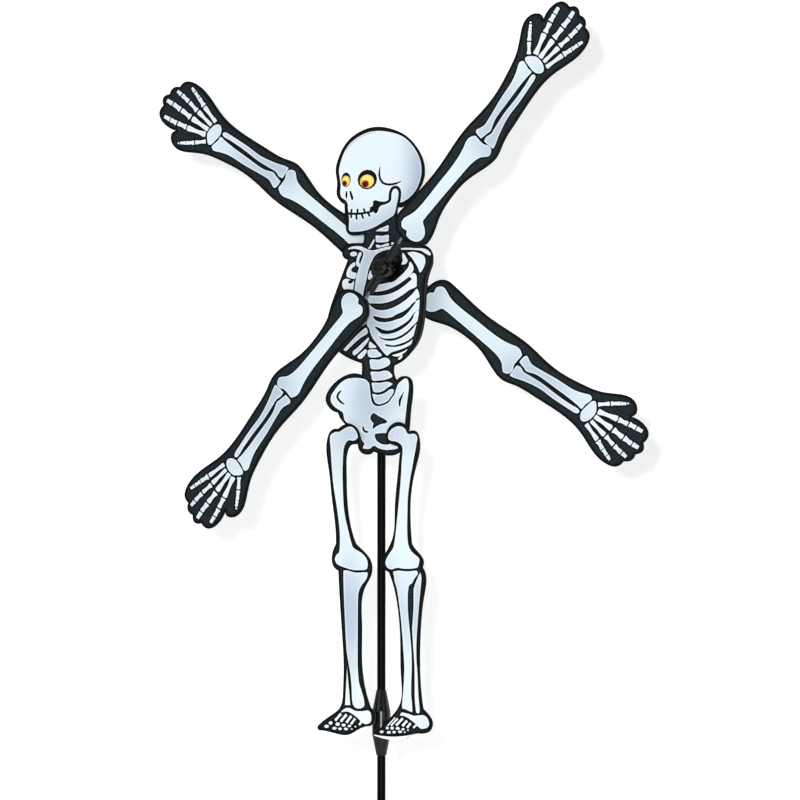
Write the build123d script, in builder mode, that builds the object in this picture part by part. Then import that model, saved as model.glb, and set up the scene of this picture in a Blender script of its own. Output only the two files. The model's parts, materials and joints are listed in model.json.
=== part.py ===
from build123d import *
import os
from math import cos, radians, sin

# Skeleton garden whirligig: a flat cartoon skeleton on a two-piece pole.  Two double-bladed
# propellers, one before and one behind the chest, are its arms, and its legs swing on hip pins.
# Millimetres.  +Z up, the figure faces -Y, and the origin is on the pole's axis, where the
# lower rod's straight wall starts.

# ---- Driving dimensions ----------------------------------------------------------------------
figure_height = 461.3      # top of the skull to the lower sole
arm_reach = 243.2          # shaft axis to fingertip, along the arm

rod_diameter = 6.35        # fibreglass rod
rod_length = 330.0         # each of the two rods
rod_point = 8.0            # ground point below the lower rod's wall
rod_point_diameter = 2.0
spigot_relief = 0.2        # off the lower rod's radius where it slides in the coupler
spigot_show = 1.0          # of the spigot below the coupler
coupler_length = 49.0
coupler_wall = 3.8         # around the rod, at the coupler's middle
coupler_lip = 0.6          # around the rod, at the coupler's two ends
coupler_band = 16.5        # the full-width middle of the coupler
coupler_web = 1.0          # stop between the two rod ends
coupler_round = 1.2
shaft_above_rod = 10.0     # shaft axis above the upper rod's end
shaft_offset = 9.2         # the shaft passes this far to +X of the pole
shaft_diameter = 3.0
pivot_button_height = 3.5
pivot_button_round = 1.5

foam_thickness = 1.2       # core of every flat panel
print_thickness = 0.2      # printed polyester on each face
arm_pitch = 5.0            # twist of each arm about its spar, degrees
front_arm_angle = 56.0     # raised front arm, from +X
back_arm_angle = 150.5     # raised back arm, from +X

housing_wall = 1.7         # around the pole
barrel_roof = 2.0
barrel_drop = 24.0         # barrel below the upper rod's end
plate_thickness = 1.2      # glue plates of the housing and of the pelvis guide
front_plate_size = (30.0, 34.0)
rear_plate_size = (26.0, 30.0)
plate_corner = 5.0
plate_drop = 5.0           # the plates' centre below the shaft
web_height = 12.0
web_drop = 3.0
web_margin = 2.0           # web past the pole's axis and past the shaft's
boss_diameter = 9.0
hub_diameter = 14.0
hub_depth = 8.6
hub_face_wall = 0.35       # hub past its sockets, on the side away from the pole
hub_round = 0.8
spar_end_inset = 8.0       # shaft axis to the spar's hub end
socket_diameter = 6.3
socket_reach = 21.0        # shaft axis to the socket's mouth
spar_diameter = 2.2
spar_reach = 80.0
pocket_wall = 0.8
pocket_start = 31.0
pocket_end_wall = 2.0
blade_seat = 0.2           # glue line between a spar and its arm
bush_diameter = 6.0
washer_diameter = 7.6
washer_thickness = 0.5
cap_diameter = 10.0
cap_depth = 5.2
cap_round = 0.8
cap_ring_outer = 7.2       # ring and centre dot pressed into the cap's face
cap_ring_inner = 5.4
cap_dot = 1.6
cap_recess = 0.5
shaft_grip = 4.0           # length of shaft inside each end cap

hip_pin_diameter = 1.6
hip_head_diameter = 3.2
hip_head_thickness = 0.4
hip_spacer_diameter = 4.4
hip_retainer_thickness = 0.8
hip_pin_end = 0.4          # shank past its retainer
guide_height = 9.0
guide_ear = 4.5            # glue plate past the guide's tube, each side
guide_corner = 2.0
chest_hole_diameter = 21.0

running = 0.05             # radial clearance where one piece turns or slides on another
seat = 0.02                # radial clearance of a glued or pressed seat
end_play = 0.1             # at the end of a rod in its blind bore
gap = 0.3                  # between faces that move past each other
leg_gap = 0.4              # between the two staggered legs
sweep_gap = 0.8            # between the sweeping arms and what they pass
overrun = 1.0              # of a cut past the face it opens

# ---- Derived places --------------------------------------------------------------------------
# The panels are drawn on one sheet: x from the pole's axis, z from the shaft's axis.
drawn_height = 461.3
drawn_reach = 243.2
drawn_arm_drop = 48.3      # from the spar to the little finger's edge
drawn_guide_drop = 112.0   # from the shaft to the pelvis guide
sheet = figure_height / drawn_height
arm_sheet = arm_reach / drawn_reach

rod_radius = rod_diameter / 2
spigot_radius = rod_radius - spigot_relief
coupler_radius = rod_radius + coupler_wall
shaft_radius = shaft_diameter / 2
spar_radius = spar_diameter / 2
hip_pin_radius = hip_pin_diameter / 2
panel_thickness = foam_thickness + 2 * print_thickness
joint_z = rod_length                       # where the two rods meet
lower_rod_top = joint_z - coupler_web / 2 - end_play
spigot_start = joint_z - coupler_length / 2 - spigot_show
upper_rod_top = joint_z + rod_length
shaft_z = upper_rod_top + shaft_above_rod

barrel_radius = rod_radius + running + housing_wall
body_rear = -(barrel_radius + seat)        # rear face of the body panel
body_front = body_rear - panel_thickness
right_leg_rear = -(max(coupler_radius, -body_front) + gap)
right_leg_front = right_leg_rear - panel_thickness
left_leg_rear = right_leg_front - leg_gap
left_leg_front = left_leg_rear - panel_thickness
pin_front = left_leg_front - gap - hip_head_thickness
pocket_radius = spar_radius + seat + pocket_wall
blade_rear_offset = spar_radius + seat + blade_seat   # spar's axis to the arm's rear face
arm_drop = drawn_arm_drop * arm_sheet * sin(radians(arm_pitch))
spar_y = -(-pin_front + sweep_gap + arm_drop - blade_rear_offset)
hub_outer = -spar_y + socket_diameter / 2 + hub_face_wall    # from the pole's plane
hub_inner = hub_outer - hub_depth
boss_end = hub_inner - washer_thickness - 2 * gap
cap_start = hub_outer + washer_thickness + 2 * gap
shaft_end = cap_start + shaft_grip
back_rear = -body_rear + foam_thickness + print_thickness
panel_x = 0.7                              # the body panel's set to +X
left_leg_x = 1.7
right_leg_x = 0.8
left_hip = (-18.0 * sheet, -125.0 * sheet)
right_hip = (16.3 * sheet, -124.0 * sheet)
guide_z = shaft_z - drawn_guide_drop * sheet

os.makedirs("parts", exist_ok=True)


def save(piece, name):
    """Label one finished piece and write it."""
    piece.part.label = name
    export_step(piece.part, f"parts/{name}.step")


def panel_plane(y, x=0.0):
    """A drawing plane facing -Y at depth y, its origin level with the shaft."""
    return Plane(origin=(x, y, shaft_z), x_dir=(1, 0, 0), z_dir=(0, -1, 0))


def draw(runs, scale):
    """Close smooth runs of points, corner to corner, into a face in the open sketch."""
    with BuildLine() as path:
        for run in runs:
            Spline(*[(x * scale, z * scale) for x, z in run])
    make_face(path.edges())


# ---- Outlines, drawn at full size ------------------------------------------------------------
body_outline = [
    [(-12.5, 27.0), (-19, 26.4), (-24.5, 27.4), (-27.3, 31)],
    [(-27.3, 31), (-28.2, 40), (-28.6, 50.5)],
    [(-28.6, 50.5), (-32.4, 53.2), (-35, 58), (-34.7, 66), (-35.9, 76), (-33.5, 86), (-27, 97),
     (-17, 104.3), (-3, 107.8), (11, 105.4), (22, 100), (31, 91), (37, 79), (37.2, 67),
     (32.3, 57.4), (24, 49.3), (19.5, 46), (15.8, 46)],
    [(15.8, 46), (15.2, 42), (15.6, 37.5)],
    [(15.6, 37.5), (17.2, 30), (20, 22.5)],
    [(20, 22.5), (27, 20.1), (36, 17.4), (43, 12.5), (44.8, 6.5), (41.6, -2), (38.5, -11),
     (37.5, -26), (36, -42), (32, -55.5), (24.5, -66), (12.8, -73)],
    [(12.8, -73), (12.4, -78), (14.8, -84.3)],
    [(14.8, -84.3), (20, -81.3), (26, -83), (28.2, -90), (26.8, -104), (25.4, -119),
     (22.5, -132), (15, -139.6), (5, -140.2), (-4.2, -137)],
    [(-4.2, -137), (-10, -139.2), (-16, -136), (-18, -128.5), (-24, -119.5), (-31, -112.5),
     (-34, -106.8)],
    [(-34, -106.8), (-40.5, -103.5), (-44.2, -96), (-40.5, -88), (-32, -81), (-23, -77.8),
     (-14.2, -79)],
    [(-14.2, -79), (-13.9, -74.5), (-14, -70.4)],
    [(-14, -70.4), (-24, -66.6), (-35, -59.5), (-42.5, -48), (-42.3, -34), (-37.6, -20),
     (-31, -4), (-25.8, 8.3)],
    [(-25.8, 8.3), (-30.4, 12.5), (-29.2, 18.4), (-22, 20.7), (-13, 20.3)],
    [(-13, 20.3), (-12.3, 23.5), (-12.5, 27.0)],
]

torso_back_outline = [
    [(-25.2, 7), (-29, 11.5), (-27.5, 17.3), (-20, 19.6), (-2, 19.8), (16, 17.8), (30, 15.4),
     (38.2, 10.6), (39.6, 5), (37, -3), (34.7, -12), (33.6, -26), (32.1, -41.5), (28.2, -54),
     (21, -63), (10, -69.2)],
    [(10, -69.2), (-2, -72), (-14, -69)],
    [(-14, -69), (-24, -64.8), (-34, -58), (-41, -47), (-40.7, -34), (-36.4, -20), (-30, -5),
     (-25.2, 7)],
]

left_leg_outline = [
    [(-32.5, -119.4), (-27.5, -116.4), (-21.5, -116.4), (-16.5, -120.5), (-14.2, -128)],
    [(-14.2, -128), (-16.5, -131.2), (-21.5, -131.8), (-25, -137), (-26, -150), (-25.6, -168),
     (-23.6, -187), (-18, -206)],
    [(-18, -206), (-11, -212.5), (-5.8, -219), (-5.4, -230), (-10, -238), (-12.8, -246),
     (-13.1, -265), (-13, -295), (-10.2, -315), (-5.6, -329)],
    [(-5.6, -329), (-2.9, -332), (-2.4, -338), (-6.5, -342.8)],
    [(-6.5, -342.8), (-15, -344.6), (-24, -348.8), (-37, -347.2), (-48.5, -345.2)],
    [(-48.5, -345.2), (-49.6, -343.2), (-47, -340)],
    [(-47, -340), (-39, -334.5), (-31, -328.5), (-28.4, -316), (-27.9, -298), (-29.2, -275),
     (-31.2, -248), (-32.4, -226)],
    [(-32.4, -226), (-37, -221.5), (-37.6, -214), (-34.4, -206)],
    [(-34.4, -206), (-34.8, -194), (-37.8, -172), (-40.4, -150), (-42, -128), (-38.5, -120.4),
     (-32.5, -119.4)],
]

right_leg_outline = [
    [(25.4, -123.4), (21.8, -117.4), (16, -115.9), (10, -119), (7.1, -127)],
    [(7.1, -127), (10.5, -132), (17.6, -135), (18.2, -140)],
    [(18.2, -140), (16.6, -156), (14.2, -181), (12.2, -203), (7, -213), (4, -219),
     (5.2, -225), (9.2, -228)],
    [(9.2, -228), (13, -238), (16.8, -256), (18.8, -280), (19.3, -305), (18.2, -327),
     (9, -338), (-3, -349.6)],
    [(-3, -349.6), (3, -351.6), (14, -353.4), (24, -352.5)],
    [(24, -352.5), (33, -349.1), (43, -347), (45.2, -341.5), (41.5, -334.5), (37.5, -330.5)],
    [(37.5, -330.5), (35.4, -314), (34.7, -292), (35.6, -267), (38.2, -246), (39.5, -231),
     (36.9, -225)],
    [(36.9, -225), (37.6, -220), (32.5, -213), (28, -206.5)],
    [(28, -206.5), (26.9, -190), (27.2, -173), (31.2, -151), (34.6, -130), (32, -123.6),
     (25.4, -123.4)],
]

# Along the arm from the shaft, and across it from the spar, thumb side positive.
arm_outline = [
    [(33, -20.4), (27.6, -13), (26.4, -4), (29, 5), (36, 10.9), (46, 10.4), (62, 6.8),
     (82, 3.1), (105, 1.6), (122, -0.1), (138, -3.8), (155, -6.3), (175, -5.9), (191, -3.8),
     (204, 1), (214, 3.3), (221, 0.8), (224, -4), (221.8, -8.9)],
    [(221.8, -8.9), (233, -8.8), (240.2, -13), (240.4, -21.2)],
    [(240.4, -21.2), (243.2, -26.2), (239.4, -31.3)],
    [(239.4, -31.3), (239, -36.4), (233.8, -40.1)],
    [(233.8, -40.1), (231, -46), (221, -48.3), (206, -44.2), (190, -36.8), (172, -33),
     (145, -31.6), (128, -31.6), (117, -32.9), (106, -29.6), (90, -22), (72, -18.2),
     (54, -18.4), (42, -20.8), (33, -20.4)],
]

# ---- Pole ------------------------------------------------------------------------------------
with BuildPart() as lower_rod:
    with BuildSketch(Plane.XZ):
        with BuildLine():
            Polyline(
                (0, -rod_point),
                (rod_point_diameter / 2, -rod_point),
                (rod_radius, 0),
                (rod_radius, spigot_start),
                (spigot_radius, spigot_start),
                (spigot_radius, lower_rod_top),
                (0, lower_rod_top),
                close=True,
            )
        make_face()
    revolve(axis=Axis.Z)
save(lower_rod, "lower_rod")

with BuildPart() as upper_rod:
    with BuildSketch(Plane.XY.offset(joint_z + coupler_web / 2)):
        Circle(rod_radius)
    extrude(amount=rod_length - coupler_web / 2)
save(upper_rod, "upper_rod")

with BuildPart() as pole_coupler:
    with BuildSketch(Plane.XZ):
        with BuildLine():
            Polyline(
                (0, joint_z - coupler_length / 2),
                (rod_radius + coupler_lip, joint_z - coupler_length / 2),
                (coupler_radius, joint_z - coupler_band / 2),
                (coupler_radius, joint_z + coupler_band / 2),
                (rod_radius + coupler_lip, joint_z + coupler_length / 2),
                (0, joint_z + coupler_length / 2),
                close=True,
            )
        make_face()
    revolve(axis=Axis.Z)
    band_edges = pole_coupler.edges().filter_by(GeomType.CIRCLE).group_by(SortBy.RADIUS)[-1]
    fillet(band_edges, radius=coupler_round)
    with BuildSketch(Plane.XY.offset(joint_z + coupler_web / 2)):
        Circle(rod_radius + seat)
    extrude(amount=coupler_length, mode=Mode.SUBTRACT)
    with BuildSketch(Plane.XY.offset(joint_z - coupler_web / 2)):
        Circle(spigot_radius + running)
    extrude(amount=-coupler_length, mode=Mode.SUBTRACT)
save(pole_coupler, "pole_coupler")

with BuildPart() as pivot_button:
    with BuildSketch(Plane.XY.offset(upper_rod_top)):
        Circle(rod_radius)
    extrude(amount=pivot_button_height)
    fillet(pivot_button.faces().sort_by(Axis.Z)[-1].edges(), radius=pivot_button_round)
save(pivot_button, "pivot_button")

# ---- Hub housing, which turns on the pole and holds the shaft ---------------------------------
bore_top = upper_rod_top + pivot_button_height + end_play
barrel_top = bore_top + barrel_roof
barrel_bottom = upper_rod_top - barrel_drop
with BuildPart() as hub_housing:
    with BuildSketch(Plane.XY.offset(barrel_bottom)):
        Circle(barrel_radius)
    extrude(amount=barrel_top - barrel_bottom)
    with BuildSketch(Plane.XZ.offset(-boss_end)):
        with Locations((shaft_offset, shaft_z)):
            Circle(boss_diameter / 2)
    extrude(amount=2 * boss_end)
    with BuildSketch(Plane.XZ.offset(-body_rear)):
        with Locations((shaft_offset / 2, shaft_z - plate_drop)):
            RectangleRounded(*front_plate_size, plate_corner)
    extrude(amount=-plate_thickness)
    with BuildSketch(Plane.XZ.offset(body_rear)):
        with Locations((shaft_offset / 2, shaft_z - plate_drop)):
            RectangleRounded(*rear_plate_size, plate_corner)
    extrude(amount=plate_thickness)
    with BuildSketch(Plane.XZ.offset(body_rear)):
        with Locations((shaft_offset / 2, shaft_z - web_drop)):
            Rectangle(shaft_offset + 2 * web_margin, web_height)
    extrude(amount=-2 * body_rear)
    with BuildSketch(Plane.XY.offset(barrel_bottom - overrun)):
        Circle(rod_radius + running)
    extrude(amount=bore_top - barrel_bottom + overrun, mode=Mode.SUBTRACT)
    with BuildSketch(Plane.XZ.offset(-boss_end - overrun)):
        with Locations((shaft_offset, shaft_z)):
            Circle(shaft_radius + seat)
    extrude(amount=2 * (boss_end + overrun), mode=Mode.SUBTRACT)
save(hub_housing, "hub_housing")

with BuildPart() as propeller_shaft:
    with BuildSketch(Plane.XZ.offset(-shaft_end)):
        with Locations((shaft_offset, shaft_z)):
            Circle(shaft_radius)
    extrude(amount=2 * shaft_end)
save(propeller_shaft, "propeller_shaft")

with BuildPart() as front_end_cap:
    with BuildSketch(Plane.XZ.offset(cap_start)):
        with Locations((shaft_offset, shaft_z)):
            Circle(cap_diameter / 2)
    extrude(amount=cap_depth)
    cap_face = front_end_cap.faces().sort_by(Axis.Y)[0]
    fillet(cap_face.edges(), radius=cap_round)
    with BuildSketch(Plane.XZ.offset(cap_start + cap_depth)):
        with Locations((shaft_offset, shaft_z)):
            Circle(cap_ring_outer / 2)
            Circle(cap_ring_inner / 2, mode=Mode.SUBTRACT)
            Circle(cap_dot / 2)
    extrude(amount=-cap_recess, mode=Mode.SUBTRACT)
    with BuildSketch(Plane.XZ.offset(cap_start)):
        with Locations((shaft_offset, shaft_z)):
            Circle(shaft_radius + seat)
    extrude(amount=shaft_grip, mode=Mode.SUBTRACT)
save(front_end_cap, "front_end_cap")

with BuildPart() as rear_end_cap:
    add(front_end_cap.part.mirror(Plane.XZ))
save(rear_end_cap, "rear_end_cap")


def washers(side):
    """The two washers of one propeller, either side of its hub; side is -1 before, +1 behind."""
    with BuildPart() as pair:
        for face in (hub_inner - gap - washer_thickness, hub_outer + gap):
            with BuildSketch(Plane.XZ.offset(-side * face)):
                with Locations((shaft_offset, shaft_z)):
                    Circle(washer_diameter / 2)
                    Circle(shaft_radius + seat, mode=Mode.SUBTRACT)
            extrude(amount=-side * washer_thickness)
    return pair


save(washers(-1), "front_washers")
save(washers(1), "rear_washers")


# ---- Flat panels: a foam core with printed polyester on its faces -----------------------------
def panel(outline, front_y, thickness, x, holes):
    """A flat piece from front_y rearwards; holes are (x, z, radius) from the pole and shaft."""
    with BuildPart() as piece:
        with BuildSketch(panel_plane(front_y, x)):
            draw(outline, sheet)
            for hole_x, hole_z, radius in holes:
                with Locations((hole_x - x, hole_z)):
                    Circle(radius, mode=Mode.SUBTRACT)
        extrude(amount=-thickness)
    return piece


def layered(name, outline, front_y, x, holes):
    """Save a printed face, its foam core and the print on the back."""
    core_y = front_y + print_thickness
    back_y = core_y + foam_thickness
    save(panel(outline, front_y, print_thickness, x, holes), name + "_front_print")
    save(panel(outline, core_y, foam_thickness, x, holes), name + "_core")
    save(panel(outline, back_y, print_thickness, x, holes), name + "_back_print")


body_holes = [
    (shaft_offset, 0, chest_hole_diameter / 2),
    (*left_hip, hip_pin_radius + seat),
    (*right_hip, hip_pin_radius + seat),
]
layered("body", body_outline, body_front, panel_x, body_holes)
layered("left_leg", left_leg_outline, left_leg_front, left_leg_x,
        [(*left_hip, hip_pin_radius + running)])
layered("right_leg", right_leg_outline, right_leg_front, right_leg_x,
        [(*right_hip, hip_pin_radius + running)])

back_hole = [(shaft_offset, 0, boss_diameter / 2 + gap)]
save(panel(torso_back_outline, -body_rear, foam_thickness, panel_x, back_hole), "torso_back_core")
save(panel(torso_back_outline, -body_rear + foam_thickness, print_thickness, panel_x, back_hole),
     "torso_back_print")

# ---- Pelvis guide and hip pins ----------------------------------------------------------------
with BuildPart() as pelvis_guide:
    with BuildSketch(Plane.XY.offset(guide_z - guide_height / 2)):
        Circle(barrel_radius)
    extrude(amount=guide_height)
    with BuildSketch(Plane.XZ.offset(-body_rear)):
        with Locations((0, guide_z)):
            RectangleRounded(2 * (barrel_radius + guide_ear), guide_height, guide_corner)
    extrude(amount=-plate_thickness)
    with BuildSketch(Plane.XY.offset(guide_z - guide_height)):
        Circle(rod_radius + running)
    extrude(amount=2 * guide_height, mode=Mode.SUBTRACT)
save(pelvis_guide, "pelvis_guide")


def hip_pin(hip, leg_front):
    """A tag pin: a thin head before the leg, and a shank through leg and pelvis."""
    with BuildPart() as pin:
        with BuildSketch(panel_plane(leg_front - gap)):
            with Locations(hip):
                Circle(hip_head_diameter / 2)
        extrude(amount=hip_head_thickness)
        with BuildSketch(panel_plane(leg_front - gap)):
            with Locations(hip):
                Circle(hip_pin_radius)
        extrude(amount=-(body_rear + hip_retainer_thickness + hip_pin_end - leg_front + gap))
    return pin


save(hip_pin(left_hip, left_leg_front), "left_hip_pin")
save(hip_pin(right_hip, right_leg_front), "right_hip_pin")


def hip_rings(stations, diameter):
    """A ring on each hip pin; stations are (hip, front face, rear face)."""
    with BuildPart() as rings:
        for hip, front_y, rear_y in stations:
            with BuildSketch(panel_plane(front_y)):
                with Locations(hip):
                    Circle(diameter / 2)
                    Circle(hip_pin_radius + seat, mode=Mode.SUBTRACT)
            extrude(amount=front_y - rear_y)
    return rings


save(hip_rings([(left_hip, left_leg_rear + gap, body_front),
                (right_hip, right_leg_rear + gap, body_front)], hip_spacer_diameter),
     "hip_spacers")
retainer_rear = body_rear + hip_retainer_thickness
save(hip_rings([(left_hip, body_rear, retainer_rear),
                (right_hip, body_rear, retainer_rear)], hip_head_diameter),
     "hip_retainers")


# ---- Propellers: a hub on a bush, two spars, and an arm on each spar ---------------------------
def across_arm(side, angle, reach):
    """A plane square to an arm's spar; its x runs across the arm and its y towards the front."""
    pitch = radians(side * arm_pitch)
    turn = radians(angle)
    along = Vector(cos(turn), 0, sin(turn))
    across = Vector(-sin(turn) * cos(pitch), sin(pitch), cos(turn) * cos(pitch))
    centre = Vector(shaft_offset, -side * spar_y, shaft_z)
    return Plane(origin=centre + along * reach, x_dir=across, z_dir=along)


def arm_plane(side, angle, lift):
    """The drawing plane of an arm, lifted from its spar's axis towards the front."""
    frame = across_arm(side, angle, 0)
    return Plane(origin=frame.origin + frame.y_dir * lift, x_dir=frame.z_dir, z_dir=frame.y_dir)


def arm_layer(side, angle, lift, thickness):
    """One flat layer of an arm."""
    with BuildPart() as layer:
        with BuildSketch(arm_plane(side, angle, lift)):
            draw(arm_outline, arm_sheet)
        extrude(amount=thickness)
    return layer


def spar(side, angle):
    """The thin rod between a hub socket and an arm's pocket."""
    with BuildPart() as rod:
        with BuildSketch(across_arm(side, angle, spar_end_inset)):
            Circle(spar_radius)
        extrude(amount=spar_reach - spar_end_inset)
    return rod


def spar_pocket(side, angle):
    """The sleeve on an arm's rear face that holds its spar, closed at the far end."""
    with BuildPart() as pocket:
        with BuildSketch(across_arm(side, angle, pocket_start * arm_sheet)):
            Circle(pocket_radius)
            with Locations((0, blade_rear_offset / 2)):
                Rectangle(2 * pocket_radius, blade_rear_offset)
        extrude(amount=spar_reach + pocket_end_wall - pocket_start * arm_sheet)
        with BuildSketch(across_arm(side, angle, 0)):
            with Locations((0, blade_rear_offset + pocket_radius)):
                Rectangle(4 * pocket_radius, 2 * pocket_radius)
        extrude(amount=spar_reach + pocket_end_wall + overrun, mode=Mode.SUBTRACT)
        with BuildSketch(across_arm(side, angle, 0)):
            Circle(spar_radius + seat)
        extrude(amount=spar_reach + seat, mode=Mode.SUBTRACT)
    return pocket


def hub(side, angle):
    """A moulded hub with a socket for each of its two spars."""
    with BuildPart() as body:
        with BuildSketch(Plane.XZ.offset(-side * hub_inner)):
            with Locations((shaft_offset, shaft_z)):
                Circle(hub_diameter / 2)
        extrude(amount=-side * hub_depth)
        fillet(body.edges().filter_by(GeomType.CIRCLE), radius=hub_round)
        for turn in (angle, angle + 180):
            with BuildSketch(across_arm(side, turn, bush_diameter / 2)):
                Circle(socket_diameter / 2)
            extrude(amount=socket_reach - bush_diameter / 2)
        for turn in (angle, angle + 180):
            with BuildSketch(across_arm(side, turn, spar_end_inset)):
                Circle(spar_radius + seat)
            extrude(amount=socket_reach, mode=Mode.SUBTRACT)
        with BuildSketch(Plane.XZ.offset(-side * (hub_inner - overrun))):
            with Locations((shaft_offset, shaft_z)):
                Circle(bush_diameter / 2 + seat)
        extrude(amount=-side * (hub_depth + 2 * overrun), mode=Mode.SUBTRACT)
    return body


def hub_bush(side):
    """The plain bush that lets a hub spin on the shaft."""
    with BuildPart() as bush:
        with BuildSketch(Plane.XZ.offset(-side * hub_inner)):
            with Locations((shaft_offset, shaft_z)):
                Circle(bush_diameter / 2)
                Circle(shaft_radius + running, mode=Mode.SUBTRACT)
        extrude(amount=-side * hub_depth)
    return bush


for place, side, raised_angle in (("front", -1, front_arm_angle), ("back", 1, back_arm_angle)):
    save(hub(side, raised_angle), place + "_hub")
    save(hub_bush(side), place + "_hub_bush")
    for pose, angle in (("raised", raised_angle), ("lowered", raised_angle + 180)):
        name = f"{place}_{pose}_arm"
        save(spar(side, angle), name + "_spar")
        save(spar_pocket(side, angle), name + "_spar_pocket")
        lift = blade_rear_offset
        save(arm_layer(side, angle, lift, print_thickness), name + "_back_print")
        lift += print_thickness
        save(arm_layer(side, angle, lift, foam_thickness), name + "_core")
        lift += foam_thickness
        save(arm_layer(side, angle, lift, print_thickness), name + "_front_print")
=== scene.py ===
import json
import math

import bmesh
import bpy
import numpy as np
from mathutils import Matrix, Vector
from mathutils.geometry import delaunay_2d_cdt


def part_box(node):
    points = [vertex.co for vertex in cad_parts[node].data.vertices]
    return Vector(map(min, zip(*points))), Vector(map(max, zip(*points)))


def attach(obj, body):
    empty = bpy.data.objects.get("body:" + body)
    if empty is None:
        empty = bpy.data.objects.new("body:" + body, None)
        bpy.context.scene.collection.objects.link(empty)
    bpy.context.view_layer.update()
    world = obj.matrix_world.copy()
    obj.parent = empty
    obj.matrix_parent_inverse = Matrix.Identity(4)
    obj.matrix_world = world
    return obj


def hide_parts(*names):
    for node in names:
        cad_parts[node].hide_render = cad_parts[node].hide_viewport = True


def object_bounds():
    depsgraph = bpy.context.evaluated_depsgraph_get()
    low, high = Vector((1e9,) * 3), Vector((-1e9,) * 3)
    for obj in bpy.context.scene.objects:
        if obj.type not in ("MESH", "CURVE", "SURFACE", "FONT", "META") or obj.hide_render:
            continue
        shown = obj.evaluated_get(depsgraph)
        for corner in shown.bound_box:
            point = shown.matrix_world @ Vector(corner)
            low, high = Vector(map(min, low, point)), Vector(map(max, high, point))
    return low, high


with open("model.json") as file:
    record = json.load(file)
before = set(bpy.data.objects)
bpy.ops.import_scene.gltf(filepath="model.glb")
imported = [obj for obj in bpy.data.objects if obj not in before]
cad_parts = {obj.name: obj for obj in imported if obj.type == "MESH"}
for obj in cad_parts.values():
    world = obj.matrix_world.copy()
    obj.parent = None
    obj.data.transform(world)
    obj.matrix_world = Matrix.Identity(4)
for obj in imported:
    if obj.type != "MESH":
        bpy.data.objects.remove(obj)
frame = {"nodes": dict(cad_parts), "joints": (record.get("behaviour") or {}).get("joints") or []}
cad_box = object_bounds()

# Skeleton garden whirligig: printed cloth over thin foam, on moulded hubs and a black rod pole.
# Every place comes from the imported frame; the drawings on the panels are in millimetres.

# ---- Studio: a pale floor under the ground point, a white card and sky, and four soft lamps. ----
# The camera stands low and to the figure's left hand, five metres away, with a long lens.
scene = bpy.context.scene
scene.view_settings.view_transform = "Standard"
joint = {j["name"]: Vector(j["pos_m"]) for j in frame["joints"] if "pos_m" in j}
shaft_height = joint["figure_yaw"].z
view_side = math.radians(25)
view_rise = math.radians(-5)
view_distance = 5.0
aim = Vector((0.0126, 0.0059, shaft_height - 0.098))
back = Vector((math.sin(view_side) * math.cos(view_rise),
               -math.cos(view_side) * math.cos(view_rise), math.sin(view_rise)))
camera = bpy.data.objects.new("camera", bpy.data.cameras.new("camera"))
scene.collection.objects.link(camera)
camera.data.lens = 300
camera.data.sensor_width = 36
camera.location = aim + back * view_distance
camera.rotation_mode = "QUATERNION"
camera.rotation_quaternion = (-back).to_track_quat("-Z", "Y")
camera.data.clip_end = 60
scene.camera = camera

sky = bpy.data.worlds.new("sky")
sky.use_nodes = True
sky_light = sky.node_tree.nodes["Background"]
sky_light.inputs["Color"].default_value = (0.97, 0.985, 1.0, 1)
sky_light.inputs["Strength"].default_value = 0.26
sky_white = sky.node_tree.nodes.new("ShaderNodeBackground")
sky_white.inputs["Color"].default_value = (1, 1, 1, 1)
sky_mix = sky.node_tree.nodes.new("ShaderNodeMixShader")
sky_path = sky.node_tree.nodes.new("ShaderNodeLightPath")
sky.node_tree.links.new(sky_path.outputs["Is Camera Ray"], sky_mix.inputs[0])
sky.node_tree.links.new(sky_light.outputs[0], sky_mix.inputs[1])
sky.node_tree.links.new(sky_white.outputs[0], sky_mix.inputs[2])
sky.node_tree.links.new(sky_mix.outputs[0], sky.node_tree.nodes["World Output"].inputs[0])
scene.world = sky


def lamp(name, place, size, power):
    """A square soft lamp that faces the figure's chest."""
    light = bpy.data.lights.new(name, "AREA")
    light.shape = "RECTANGLE"
    light.size, light.size_y = size
    light.energy = power
    made = bpy.data.objects.new(name, light)
    made.location = place
    made.rotation_mode = "QUATERNION"
    made.rotation_quaternion = (aim - made.location).to_track_quat("-Z", "Y")
    scene.collection.objects.link(made)


lamp("shadow_lamp", camera.location + Vector((-0.2, -0.1, 0.22)), (0.17, 0.17), 116)
lamp("key_lamp", Vector((-0.9, -2.6, 1.9)), (1.5, 1.5), 13)
lamp("side_strip", Vector((2.4, -1.6, 0.7)), (0.22, 1.8), 8)
lamp("rear_lamp", Vector((-1.2, 2.8, 1.7)), (1.2, 1.2), 30)


class Wire:
    """The output of one shader node, which can be added to, multiplied and so on."""

    def __init__(self, finish, socket):
        self.finish = finish
        self.socket = socket

    def maths(self, operation, first, second):
        return self.finish.node("ShaderNodeMath", {"operation": operation}, {0: first, 1: second})

    def __add__(self, other):
        return self.maths("ADD", self, other)

    __radd__ = __add__

    def __sub__(self, other):
        return self.maths("SUBTRACT", self, other)

    def __rsub__(self, other):
        return self.maths("SUBTRACT", other, self)

    def __mul__(self, other):
        return self.maths("MULTIPLY", self, other)

    __rmul__ = __mul__


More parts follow.
